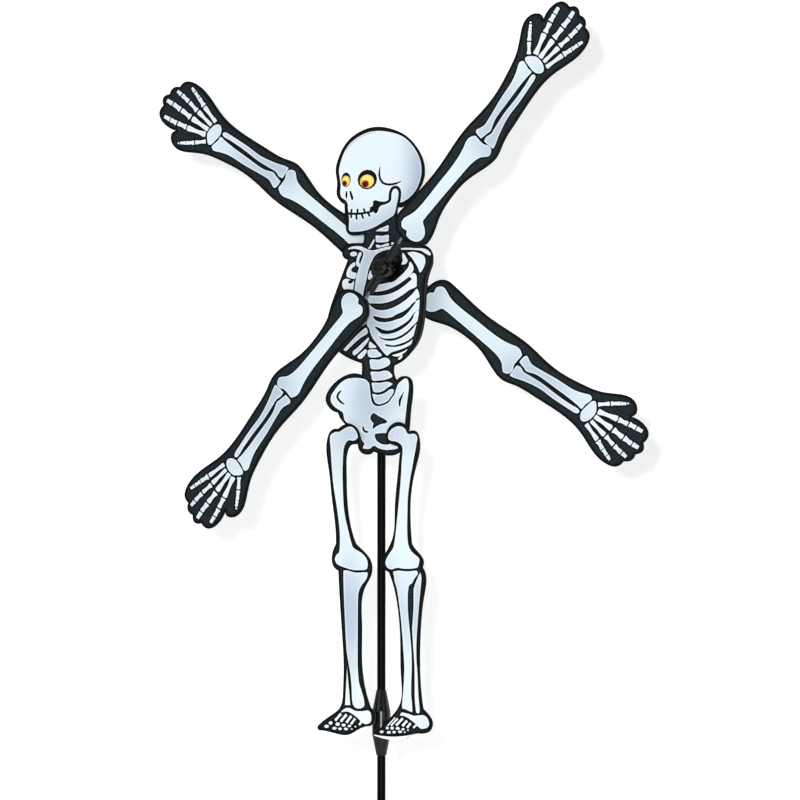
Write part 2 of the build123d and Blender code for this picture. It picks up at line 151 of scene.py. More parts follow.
class Finish:
    """One material, built from nodes."""

    def __init__(self, name, slot, **uniform):
        self.material = bpy.data.materials.new(name)
        self.material.use_nodes = True
        self.slot = slot
        self.tree = self.material.node_tree
        self.surface = self.tree.nodes["Principled BSDF"]
        for socket, value in uniform.items():
            self.surface.inputs[socket.replace("_", " ")].default_value = value

    def node(self, kind, settings=None, sockets=None, output=0):
        """A node of this kind: its settings first, then the values or links of its sockets."""
        made = self.tree.nodes.new(kind)
        for setting, value in (settings or {}).items():
            setattr(made, setting, value)
        for socket, value in (sockets or {}).items():
            self.feed(made.inputs[socket], value)
        return Wire(self, made.outputs[output])

    def feed(self, socket, value):
        if isinstance(value, Wire):
            self.tree.links.new(value.socket, socket)
        else:
            socket.default_value = value

    def wear(self, **fed):
        """Feed the surface; Base_Color stands for Base Color."""
        for socket, value in fed.items():
            self.feed(self.surface.inputs[socket.replace("_", " ")], value)

    def place(self, scale=(1, 1, 1), turn=(0, 0, 0)):
        """Where a point is on the object, in metres, stretched by scale."""
        here = self.node("ShaderNodeTexCoord", output="Object")
        return self.node("ShaderNodeMapping", {},
                         {"Vector": here, "Scale": scale, "Rotation": turn})

    def noise(self, where, scale, detail=3.0, roughness=0.5):
        return self.node("ShaderNodeTexNoise", {}, {"Vector": where, "Scale": scale,
                                                    "Detail": detail, "Roughness": roughness})

    def between(self, value, low, high):
        """0 below low, 1 above high and smooth between."""
        return self.node("ShaderNodeMapRange", {"interpolation_type": "SMOOTHSTEP"},
                         {"Value": value, "From Min": low, "From Max": high})

    def blend(self, share, first, second):
        """The first colour where share is 0 and the second where it is 1."""
        return self.node("ShaderNodeMix", {"data_type": "RGBA"},
                         {"Factor": share, 6: first, 7: second}, output=2)

    def bump(self, height, strength, distance):
        return self.node("ShaderNodeBump", {},
                         {"Height": height, "Strength": strength, "Distance": distance})


def rgb(red, green, blue):
    """A colour given as 0 to 255 on a screen, as the linear colour that nodes use."""
    linear = [((c / 255 + 0.055) / 1.055) ** 2.4 if c > 10 else c / 255 / 12.92
              for c in (red, green, blue)]
    return (*linear, 1.0)


def stage_sheet(name, corners, finish):
    """A flat sheet of the studio, which isn't part of the whirligig."""
    mesh = bpy.data.meshes.new(name)
    mesh.from_pydata(corners, [], [(0, 1, 2, 3)])
    mesh.materials.append(finish.material)
    made = bpy.data.objects.new(name, mesh)
    scene.collection.objects.link(made)


floor_z = cad_box[0].z
floor_reach = 2.0
floor_paint = Finish("pale_floor", None, Base_Color=(0.8, 0.8, 0.79, 1), Roughness=0.9,
                     Emission_Color=(1, 1, 1, 1), Emission_Strength=0.4)
stage_sheet("floor", [(x * floor_reach, y * floor_reach, floor_z)
                      for x, y in ((-1, -1), (1, -1), (1, 1), (-1, 1))], floor_paint)

# A white card close behind takes the soft shadow; from behind and to the lamps it is clear.
card_y = 0.29
card_left, card_right, card_top = -1.2, 1.0, 1.5
card_paint = Finish("white_card", None, Base_Color=(0.93, 0.93, 0.93, 1), Roughness=1.0,
                    Specular_IOR_Level=0.0, Emission_Color=(1, 1, 1, 1), Emission_Strength=0.3)
card_hidden = card_paint.node("ShaderNodeMath", {"operation": "MAXIMUM"}, {
    0: card_paint.node("ShaderNodeNewGeometry", output="Backfacing"),
    1: card_paint.node("ShaderNodeLightPath", output="Is Shadow Ray")})
card_mix = card_paint.node("ShaderNodeMixShader", {}, {
    0: card_hidden, 1: Wire(card_paint, card_paint.surface.outputs[0]),
    2: card_paint.node("ShaderNodeBsdfTransparent")})
card_paint.feed(card_paint.tree.nodes["Material Output"].inputs[0], card_mix)
stage_sheet("card", [(card_left, card_y, floor_z), (card_right, card_y, floor_z),
                     (card_right, card_y, card_top), (card_left, card_y, card_top)], card_paint)


# ---- Pole: two pultruded fibreglass rods, black through, satin from the die. --------------------
# The glass runs lengthways, so the gloss breaks into faint long streaks.  The rods stay as built.
nodes = frame["nodes"]


def dress(finish, *names):
    """Give CAD nodes this finish."""
    for name in names:
        materials = nodes[name].data.materials
        materials.clear()
        materials.append(finish.material)


rod_black = Finish("black_fibreglass", "black_fibreglass", Specular_IOR_Level=0.04)
along_rod = rod_black.place(scale=(900, 900, 14))
streaks = rod_black.noise(along_rod, 1.0, detail=4)
scuffs = rod_black.between(rod_black.noise(rod_black.place(), 160, detail=5), 0.56, 0.72)
rod_black.wear(
    Base_Color=rod_black.blend(streaks * 0.6 + scuffs * 0.25, rgb(2, 3, 3), rgb(12, 13, 14)),
    Roughness=0.3 + streaks * 0.2 + scuffs * 0.15,
    Normal=rod_black.bump(streaks, 0.35, 0.0001),
)
dress(rod_black, "lower_rod", "upper_rod")

# ---- Coupler, housing, hubs and guide: black polypropylene, injection moulded. ------------------
# A fine spark-eroded skin, a little smoother where hands and rods rub it.  They stay as built.
moulded = Finish("black_moulding", "black_plastic", Specular_IOR_Level=0.34)
skin = moulded.noise(moulded.place(), 2600, detail=3)
flow = moulded.noise(moulded.place(scale=(1, 1, 0.35)), 90, detail=3)
rubbed = moulded.between(moulded.noise(moulded.place(), 210, detail=5), 0.5, 0.68)
moulded.wear(
    Base_Color=moulded.blend(flow * 0.5 + rubbed * 0.3, rgb(2, 3, 4), rgb(13, 15, 16)),
    Roughness=0.2 + flow * 0.12 - rubbed * 0.05,
    Normal=moulded.bump(skin * 0.7 + flow * 0.3, 0.25, 0.00008),
)
dress(moulded, "pole_coupler", "hub_housing", "pelvis_guide", "front_hub", "back_hub")

cap_black = Finish("cap_moulding", "cap_plastic", Specular_IOR_Level=0.3)
cap_skin = cap_black.noise(cap_black.place(), 1500, detail=3)
cap_rub = cap_black.between(cap_black.noise(cap_black.place(), 420, detail=4), 0.45, 0.7)
cap_black.wear(
    Base_Color=cap_black.blend(cap_rub, rgb(4, 4, 5), rgb(22, 20, 21)),
    Roughness=0.16 + cap_skin * 0.14,
    Normal=cap_black.bump(cap_skin, 0.3, 0.00008),
)
dress(cap_black, "front_end_cap", "rear_end_cap")

# ---- Nylon: the pivot button, the hub bushes, the hip pins and their rings. ---------------------
# Natural nylon, milky and slightly waxy, with the faint cloud that regrind leaves.
nylon = Finish("natural_nylon", "white_nylon", Subsurface_Weight=0.15)
cloud = nylon.noise(nylon.place(), 300, detail=4)
nylon.wear(
    Base_Color=nylon.blend(cloud, rgb(236, 235, 226), rgb(212, 210, 198)),
    Roughness=0.38 + cloud * 0.15,
    Normal=nylon.bump(cloud, 0.2, 0.0001),
)
dress(nylon, "pivot_button", "front_hub_bush", "back_hub_bush")
pin_nylon = Finish("hip_nylon", "hip_nylon", Subsurface_Weight=0.1)
pin_cloud = pin_nylon.noise(pin_nylon.place(), 500, detail=3)
pin_nylon.wear(
    Base_Color=pin_nylon.blend(pin_cloud, rgb(226, 233, 243), rgb(198, 206, 222)),
    Roughness=0.32 + pin_cloud * 0.2,
)
dress(pin_nylon, "left_hip_pin", "right_hip_pin", "hip_spacers", "hip_retainers")

# ---- Shaft and washers: bright drawn steel, turned, with a trace of oil. ------------------------
steel = Finish("turned_steel", "steel", Metallic=1.0)
turning = steel.noise(steel.place(scale=(2200, 160, 2200)), 1.0, detail=2)
tarnish = steel.noise(steel.place(), 260, detail=4)
steel.wear(
    Base_Color=steel.blend(tarnish, rgb(205, 205, 208), rgb(150, 146, 140)),
    Roughness=0.2 + turning * 0.18 + tarnish * 0.1,
    Normal=steel.bump(turning, 0.2, 0.00005),
)
dress(steel, "propeller_shaft", "front_washers", "rear_washers")

# ---- Spars: four thin grey fibreglass rods, glued into the hubs. --------------------------------
# Clear resin over grey glass; the strands show as pale hairs along each rod.
PROPELLERS = {"front": ("front_arms", joint["front_arms_spin"]),
              "back": ("back_arms", joint["back_arms_spin"])}


def middle(name):
    low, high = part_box(name)
    return (low + high) / 2


for place, (body, hub_centre) in PROPELLERS.items():
    names = [f"{place}_{pose}_arm_spar" for pose in ("raised", "lowered")]
    along = middle(names[0]) - hub_centre
    turn = (0, math.atan2(along.z, along.x), 0)
    glass = Finish(f"{place}_spar_fibreglass", "grey_fibreglass", Specular_IOR_Level=0.5)
    hairs = glass.noise(glass.place(scale=(20, 1500, 1500), turn=turn), 1.0, detail=4)
    glass.wear(
        Base_Color=glass.blend(glass.between(hairs, 0.4, 0.65), rgb(66, 70, 75),
                               rgb(128, 133, 138)),
        Roughness=0.22 + hairs * 0.2,
        Normal=glass.bump(hairs, 0.3, 0.00008),
    )
    dress(glass, *names)


# ---- Spar sleeves: black polyester webbing, folded over each spar and sewn to the arm. ----------
# The fold stays as built.  A flat tail each side of it is stitched down with one row of thread.
MM = 0.001


class Sheet:
    """Where a panel's drawing lies: its zero point, its two directions and the way it faces."""

    def __init__(self, zero, right, up):
        self.zero = Vector(zero)
        self.right = Vector(right)
        self.up = Vector(up)
        self.out = self.right.cross(self.up)

    def flat(self, point):
        offset = point - self.zero
        return offset.dot(self.right) / MM, offset.dot(self.up) / MM

    def depth(self, name):
        found = [(v.co - self.zero).dot(self.out) for v in nodes[name].data.vertices]
        return min(found), max(found)

    def cut_lines(self, name):
        """The die-cut edge of a CAD print: the lines round its front face, holes too."""
        copy = bmesh.new()
        copy.from_mesh(nodes[name].data)
        bmesh.ops.remove_doubles(copy, verts=copy.verts, dist=1e-6)
        front = {f for f in copy.faces if f.normal.dot(self.out) > 0.9}
        lines = [[self.flat(v.co) for v in e.verts] for e in copy.edges
                 if len(front.intersection(e.link_faces)) == 1]
        copy.free()
        return np.array(lines)


class ArmFrame:
    """An arm's own directions: along it, across it towards the thumb, and out to the front."""

    def __init__(self, place, pose):
        self.name = f"{place}_{pose}_arm"
        self.body, self.centre = PROPELLERS[place]
        self.along = (middle(self.name + "_spar") - self.centre).normalized()
        print_mesh = nodes[self.name + "_front_print"].data
        facing = Vector()
        for face in print_mesh.polygons:
            if face.normal.y < -0.9:
                facing += face.normal * face.area
        self.out = facing.normalized()
        self.across = self.out.cross(self.along)

    def reach(self, name, direction):
        """How far a CAD node reaches from the hub's centre: (least, most) along a direction."""
        found = [(v.co - self.centre).dot(direction) for v in nodes[name].data.vertices]
        return min(found), max(found)

    def point(self, along, across, out):
        return self.centre + self.along * along + self.across * across + self.out * out


ARMS = [ArmFrame(place, pose) for place in PROPELLERS for pose in ("raised", "lowered")]


def new_piece(name, points, faces, finishes, picks=None, body=None, replaced=()):
    """A finished mesh piece at the origin, riding on a body."""
    mesh = bpy.data.meshes.new(name)
    mesh.from_pydata([tuple(p) for p in points], [], faces)
    for finish in finishes:
        mesh.materials.append(finish.material)
    if picks is not None:
        mesh.polygons.foreach_set("material_index", picks)
    made = bpy.data.objects.new(name, mesh)
    scene.collection.objects.link(made)
    if body:
        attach(made, body)
    if replaced:
        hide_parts(*replaced)
    return made


def webbing(name, arm):
    """Woven black tape: ribs across its length, with the arm's own direction."""
    turn = (0, math.atan2(arm.along.z, arm.along.x), 0)
    tape = Finish(name, "pocket_webbing", Sheen_Weight=0.06, Specular_IOR_Level=0.2)
    along_tape = tape.place(scale=(1, 1, 1), turn=turn)
    ribs = tape.node("ShaderNodeTexWave", {"bands_direction": "X"},
                     {"Vector": along_tape, "Scale": 320.0, "Distortion": 0.6})
    yarns = tape.node("ShaderNodeTexWave", {"bands_direction": "Z"},
                      {"Vector": along_tape, "Scale": 260.0, "Distortion": 0.6})
    fuzz = tape.noise(along_tape, 900, detail=4)
    tape.wear(
        Base_Color=tape.blend(ribs * 0.45 + fuzz * 0.4, rgb(6, 7, 8), rgb(32, 34, 37)),
        Roughness=0.72 + fuzz * 0.15,
        Normal=tape.bump(ribs * yarns + fuzz * 0.25, 0.6, 0.00025),
    )
    return tape


def stitch_tree():
    """A Geometry Nodes tree that lays one thread stitch at each step along a line."""
    tree = bpy.data.node_groups.new("thread_stitches", "GeometryNodeTree")
    face = tree.interface
    face.new_socket("Geometry", in_out="INPUT", socket_type="NodeSocketGeometry")
    for label in ("Stitch step", "Stitch length", "Thread radius", "Lie unevenly"):
        face.new_socket(label, in_out="INPUT", socket_type="NodeSocketFloat")
    face.new_socket("Seed", in_out="INPUT", socket_type="NodeSocketInt")
    face.new_socket("Thread", in_out="INPUT", socket_type="NodeSocketMaterial")
    face.new_socket("Geometry", in_out="OUTPUT", socket_type="NodeSocketGeometry")

    def add(kind, sockets=None, **settings):
        made = tree.nodes.new(kind)
        for setting, value in settings.items():
            setattr(made, setting, value)
        for socket, value in (sockets or {}).items():
            if isinstance(value, bpy.types.NodeSocket):
                tree.links.new(value, made.inputs[socket])
            else:
                made.inputs[socket].default_value = value
        return made

    given = add("NodeGroupInput").outputs
    line = add("GeometryNodeMeshToCurve", {"Mesh": given["Geometry"]})
    steps = add("GeometryNodeResampleCurve", {"Curve": line.outputs[0],
                                              "Length": given["Stitch step"]}, mode="LENGTH")
    thick = add("ShaderNodeMath", {0: given["Thread radius"], 1: 2.0}, operation="MULTIPLY")
    shape = add("ShaderNodeCombineXYZ", {0: thick.outputs[0], 1: thick.outputs[0],
                                         2: given["Stitch length"]})
    bead = add("GeometryNodeMeshUVSphere", {"Segments": 8, "Rings": 6, "Radius": 0.5})
    thread = add("GeometryNodeTransform", {"Geometry": bead.outputs[0], "Scale": shape.outputs[0]})
    tangent = add("GeometryNodeInputTangent")
    lean = add("ShaderNodeMath", {0: given["Lie unevenly"], 1: -1.0}, operation="MULTIPLY")
    low = add("ShaderNodeCombineXYZ", {axis: lean.outputs[0] for axis in range(3)})
    high = add("ShaderNodeCombineXYZ", {axis: given["Lie unevenly"] for axis in range(3)})
    chance = add("FunctionNodeRandomValue", {"Min": low.outputs[0], "Max": high.outputs[0],
                                             "Seed": given["Seed"]}, data_type="FLOAT_VECTOR")
    leant = add("ShaderNodeVectorMath", {0: tangent.outputs[0], 1: chance.outputs[0]},
                operation="ADD")
    turned = add("FunctionNodeAlignRotationToVector", {"Vector": leant.outputs[0]}, axis="Z")
    laid = add("GeometryNodeInstanceOnPoints", {"Points": steps.outputs[0],
                                                "Instance": thread.outputs[0],
                                                "Rotation": turned.outputs[0]})
    real = add("GeometryNodeRealizeInstances", {"Geometry": laid.outputs[0]})
    coloured = add("GeometryNodeSetMaterial", {"Geometry": real.outputs[0],
                                               "Material": given["Thread"]})
    add("NodeGroupOutput", {0: coloured.outputs[0]})
    return tree


def stitches(name, lines, step, length, radius, thread, body, seed):
    """Thread stitches along straight or bent lines, as one plain mesh."""
    points, edges = [], []
    for line in lines:
        edges += [(len(points) + i, len(points) + i + 1) for i in range(len(line) - 1)]
        points += line
    mesh = bpy.data.meshes.new(name + "_line")
    mesh.from_pydata([tuple(p) for p in points], edges, [])
    guide = bpy.data.objects.new(name + "_line", mesh)
    scene.collection.objects.link(guide)
    tree = stitch_tree()
    modifier = guide.modifiers.new("stitches", "NODES")
    modifier.node_group = tree
    inputs = {item.name: item.identifier for item in tree.interface.items_tree
              if item.in_out == "INPUT"}
    for label, value in (("Stitch step", step), ("Stitch length", length),
                         ("Thread radius", radius), ("Lie unevenly", 0.12), ("Seed", seed),
                         ("Thread", thread.material)):
        modifier[inputs[label]] = value
    bpy.context.view_layer.update()
    made_mesh = bpy.data.meshes.new_from_object(
        guide.evaluated_get(bpy.context.evaluated_depsgraph_get()))
    bpy.data.objects.remove(guide)
    made_mesh.name = name
    made_mesh.polygons.foreach_set("use_smooth", [True] * len(made_mesh.polygons))
    made = bpy.data.objects.new(name, made_mesh)
    scene.collection.objects.link(made)
    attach(made, body)
    return made


sewing = Finish("black_thread", "pocket_webbing", Sheen_Weight=0.3)
twist = sewing.node("ShaderNodeTexWave", {"bands_direction": "DIAGONAL"},
                    {"Vector": sewing.place(), "Scale": 700.0})
sewing.wear(
    Base_Color=sewing.blend(twist, rgb(26, 28, 30), rgb(74, 78, 82)),
    Roughness=0.5 + twist * 0.2,
    Normal=sewing.bump(twist, 0.5, 0.0001),
)

tail_width = 4.6
tail_thickness = 0.45 * MM
tail_steps = 22
cut_margin = 1.1
stitch_inset = 1.6 * MM
stitch_step = 2.9 * MM
stitch_length = 2.2 * MM
thread_radius = 0.24 * MM
thread_lift = 0.08 * MM
row_share = 0.78              # of the way from the spar to the tail's edge
# The tail's section: the share of its width, and how far it stands off the print.
tail_section = ((0, 0), (0, 0.6), (0.05, 1), (0.3, 1), (0.7, 1), (0.95, 1), (1, 0.6), (1, 0))
seams = {body: [] for body, centre in PROPELLERS.values()}
for arm in ARMS:
    sleeve = arm.name + "_spar_pocket"
    tape = webbing(arm.name + "_webbing", arm)
    dress(tape, sleeve)
    start, end = arm.reach(sleeve, arm.along)
    top = arm.reach(arm.name + "_back_print", arm.out)[0]
    cut = Sheet(arm.centre, arm.along, arm.across).cut_lines(arm.name + "_front_print")

    def tail_reach(along, side):
        """How far a tail reaches from the spar before it would meet the arm's cut edge."""
        met = [a[1] + (b[1] - a[1]) * (along / MM - a[0]) / (b[0] - a[0]) for a, b in cut
               if (a[0] < along / MM) != (b[0] < along / MM)]
        nearest = min((side * v for v in met if side * v > 0), default=tail_width)
        return side * min(tail_width, nearest - cut_margin) * MM

    stations = [start + (end - start) * i / tail_steps for i in range(tail_steps + 1)]
    points = []
    for i, along in enumerate(stations):
        low, high = tail_reach(along, -1), tail_reach(along, 1)
        fray = (0.09 * math.sin(i * 2.3) + 0.06 * math.sin(i * 5.1)) * MM
        for share, drop in tail_section:
            points.append(arm.point(along, low + (high - low) * share + fray,
                                    top - tail_thickness * drop))
    sides = len(tail_section)
    faces = [(i * sides + j, i * sides + (j + 1) % sides,
              (i + 1) * sides + (j + 1) % sides, (i + 1) * sides + j)
             for i in range(tail_steps) for j in range(sides)]
    faces += [tuple(reversed(range(sides))), tuple(tail_steps * sides + j for j in range(sides))]
    new_piece(arm.name + "_sleeve_tails", points, faces, [tape], body=arm.body)
    level = top - tail_thickness - thread_lift
    rows = [[arm.point(along, tail_reach(along, side) * row_share, level)
             for along in stations[1:-1]] for side in (-1, 1)]
    last = end - stitch_inset
    rows.append([arm.point(last, tail_reach(last, side) * row_share, level) for side in (-1, 1)])
    seams[arm.body] += rows
for body, rows in seams.items():
    stitches(body + "_sleeve_stitches", rows, stitch_step, stitch_length, thread_radius, sewing,
             body, seed=7)


# ---- Printed panels: polyester cloth, dye printed, bonded to both faces of thin black foam. -----
# Each is die cut, so the foam shows as a thin line round the edge.  The bones are printed icy blue
# on black; the black is the dyed cloth, and heavier ink runs round each bone and along the cut.
def cloth(name, colour_of):
    """Printed cloth: the colour comes from colour_of, and the plain weave from its own UV map."""
    made = Finish(name, "printed_polyester", Specular_IOR_Level=0.12)
    threads_per_mm = 2.0
    mm_per_map_unit = 100
    waves_per_unit = 20 / (2 * math.pi)               # of a Wave node whose scale is 1
    weave_scale = threads_per_mm * mm_per_map_unit / waves_per_unit
    along_sheet = made.node("ShaderNodeUVMap", {"uv_map": "sheet"})
    warp, weft = (made.node("ShaderNodeTexWave", {"bands_direction": way},
                            {"Vector": along_sheet, "Scale": weave_scale, "Distortion": 0.4})
                  for way in "XY")
    weave = warp * 0.5 + weft * 0.5
    slub = made.noise(along_sheet, 14, detail=4)
    made.wear(
        Base_Color=colour_of(made, along_sheet, weave, slub),
        Roughness=0.62 + slub * 0.14 - weave * 0.08,
        Normal=made.bump(weave * 0.7 + slub * 0.3, 0.35, 0.0001),
    )
    return made


def reading(finish, name):
    """A number kept at each point of the panel."""
    return finish.node("ShaderNodeAttribute", {"attribute_name": name}, output="Fac")


def black_cloth(finish, along_sheet, weave, slub):
    from_bone = reading(finish, "from_print_edge")
    from_cut = reading(finish, "from_cut_edge")
    near_bone = 1 - finish.between(from_bone, 0.6, 1.7)
    near_cut = 1 - finish.between(from_cut, 1.2, 2.8)
    inked = finish.node("ShaderNodeMath", {"operation": "MAXIMUM"}, {0: near_bone, 1: near_cut})
    flecks = finish.between(finish.noise(along_sheet, 95, detail=4, roughness=0.7), 0.54, 0.7)
    dyed = finish.blend(flecks * 0.75 + weave * 0.1, rgb(17, 26, 31), rgb(82, 95, 98))
    ink = finish.blend(flecks * 0.3, rgb(2, 4, 6), rgb(44, 52, 55))
    return finish.blend(inked, dyed, ink)


def bone_cloth(finish, along_sheet, weave, slub):
    inside = reading(finish, "from_print_edge")
    shade = reading(finish, "print_shade")
    drift = finish.noise(along_sheet, 2.2, detail=1)
    body_colour = finish.blend(finish.between(shade + drift * 0.5, 0.2, 1.25),
                               rgb(230, 243, 250), rgb(180, 195, 213))
    rim = 1 - finish.between(inside, 0.5, 1.3)
    return finish.blend(rim * 0.5 + weave * slub * 0.12, body_colour, rgb(241, 249, 253))


def ink_cloth(finish, along_sheet, weave, slub):
    return finish.blend(slub * 0.5, rgb(3, 5, 7), rgb(20, 24, 27))


def flat_cloth(inner, outer, spread):
    """Cloth of one printed colour that darkens towards its edge."""
    def colour_of(finish, along_sheet, weave, slub):
        inside = reading(finish, "from_print_edge")
        return finish.blend(finish.between(inside + slub * 0.4, 0.1, spread), outer, inner)
    return colour_of


foam = Finish("foam_edge", "foam_sheet", Sheen_Weight=0.1)
cells = foam.node("ShaderNodeTexVoronoi", {}, {"Vector": foam.place(), "Scale": 2600.0})
foam.wear(
    Base_Color=foam.blend(cells, rgb(14, 16, 18), rgb(50, 54, 57)),
    Roughness=0.85 - cells * 0.1,
    Normal=foam.bump(cells, 0.6, 0.0001),
)
PRINTS = {
    "black": cloth("black_print", black_cloth),
    "bone": cloth("bone_print", bone_cloth),
    "ink": cloth("ink_print", ink_cloth),
    "yellow": cloth("eye_yellow_print", flat_cloth(rgb(250, 234, 132), rgb(236, 196, 74), 1.5)),
    "red": cloth("eye_red_print", flat_cloth(rgb(196, 22, 48), rgb(120, 14, 40), 0.9)),
    "white": cloth("white_margin_print", flat_cloth(rgb(246, 249, 252), rgb(232, 238, 246), 0.5)),
}
PRINT_ORDER = list(PRINTS)


def curve(points, closed=True, steps=4):
    """Points on a smooth line through the given ones; a point given twice is a corner."""
    given = np.array(points, float)
    count = len(given)
    made = []
    for i in range(count if closed else count - 1):
        if closed:
            a, b, c, d = (given[(i + k) % count] for k in (-1, 0, 1, 2))
        else:
            a, b, c, d = (given[min(max(i + k, 0), count - 1)] for k in (-1, 0, 1, 2))
        if np.allclose(b, c):
            continue
        for t in np.arange(steps) / steps:
            made.append(0.5 * (2 * b + (c - a) * t + (2 * a - 5 * b + 4 * c - d) * t ** 2
                               + (3 * b - a - 3 * c + d) * t ** 3))
    if not closed:
        made.append(given[-1])
    return np.array(made)


def bone(*points):
    """One bone of the print: a smooth line round the given points."""
    return "bone", curve(points)


def oval(x, z, across, up, steps=16):
    angles = np.arange(steps) * 2 * math.pi / steps
    return np.column_stack([x + across * np.cos(angles), z + up * np.sin(angles)])


def drawn_in(loop, amount=0.24):
    """A bone's outline taken in a little, so that the black line round it is as heavy."""
    before, after = np.roll(loop, 1, axis=0), np.roll(loop, -1, axis=0)
    area = (loop[:, 0] * after[:, 1] - after[:, 0] * loop[:, 1]).sum() / 2
    if abs(area) < 30:                                # a small bone keeps its size
        return loop
    slope = after - before
    slope /= np.maximum(np.linalg.norm(slope, axis=1), 1e-9)[:, None]
    inward = np.column_stack([-slope[:, 1], slope[:, 0]]) * math.copysign(1, area)
    return loop + inward * amount


def stroke(points, width, steps=3, taper=0.35):
    """A brush line along a smooth path, thinner at its two ends."""
    ink_spread = 0.65
    width += ink_spread
    path = curve(points, closed=False, steps=steps)
    slope = np.gradient(path, axis=0)
    slope /= np.linalg.norm(slope, axis=1)[:, None]
    normal = np.column_stack([-slope[:, 1], slope[:, 0]])
    share = np.linspace(0, 1, len(path))
    ends = np.minimum(1, taper + (1 - taper) * np.minimum(share, 1 - share) * 5)
    half = (width / 2 * ends)[:, None]
    return np.vstack([path + normal * half, (path - normal * half)[::-1]])


def small_bone(start, end, near, waist, far):
    """A finger bone: two knuckles and a waist, given the width of each."""
    start, end = np.array(start, float), np.array(end, float)
    slope = (end - start) / np.linalg.norm(end - start)
    normal = np.array([-slope[1], slope[0]])
    fuller = 0.3
    stations = [(0.0, near * 0.34 + fuller), (0.07, near * 0.5 + fuller),
                (0.3, waist * 0.5 + fuller), (0.55, waist * 0.46 + fuller),
                (0.9, far * 0.5 + fuller), (1.0, far * 0.3 + fuller)]
    upper = [start + (end - start) * t + normal * w for t, w in stations]
    lower = [start + (end - start) * t - normal * w for t, w in reversed(stations)]
    return curve(upper + lower, steps=2)


def inside(points, loops):
    """Which points lie inside the loops, each loop a list of points."""
    crossings = np.zeros(len(points), int)
    for loop in loops:
        following = np.roll(loop, -1, axis=0)
        for (x1, z1), (x2, z2) in zip(loop, following):
            if z1 == z2:
                continue
            level = (points[:, 1] < z1) != (points[:, 1] < z2)
            crossing_x = x1 + (points[:, 1] - z1) * (x2 - x1) / (z2 - z1)
            crossings += level & (points[:, 0] < crossing_x)
    return crossings % 2 == 1


def distance(points, starts, ends):
    """From each point to the nearest of the straight pieces between starts and ends."""
    nearest = np.full(len(points), 1e9)
    run = ends - starts
    length = np.maximum((run ** 2).sum(1), 1e-12)
    for block in range(0, len(starts), 400):
        part = slice(block, block + 400)
        offset = points[:, None, :] - starts[None, part, :]
        share = np.clip((offset * run[part]).sum(2) / length[part], 0, 1)
        gap = offset - share[..., None] * run[part]
        nearest = np.minimum(nearest, np.sqrt((gap ** 2).sum(2)).min(1))
    return nearest


def bulge(x, z, amount):
    """The slight unevenness of cloth over foam: two long, slow waves that cross."""
    return amount * (np.sin(x * 0.071 + z * 0.043) * 0.5
                     + np.sin(z * 0.062 - x * 0.038 + 1.3) * 0.5)


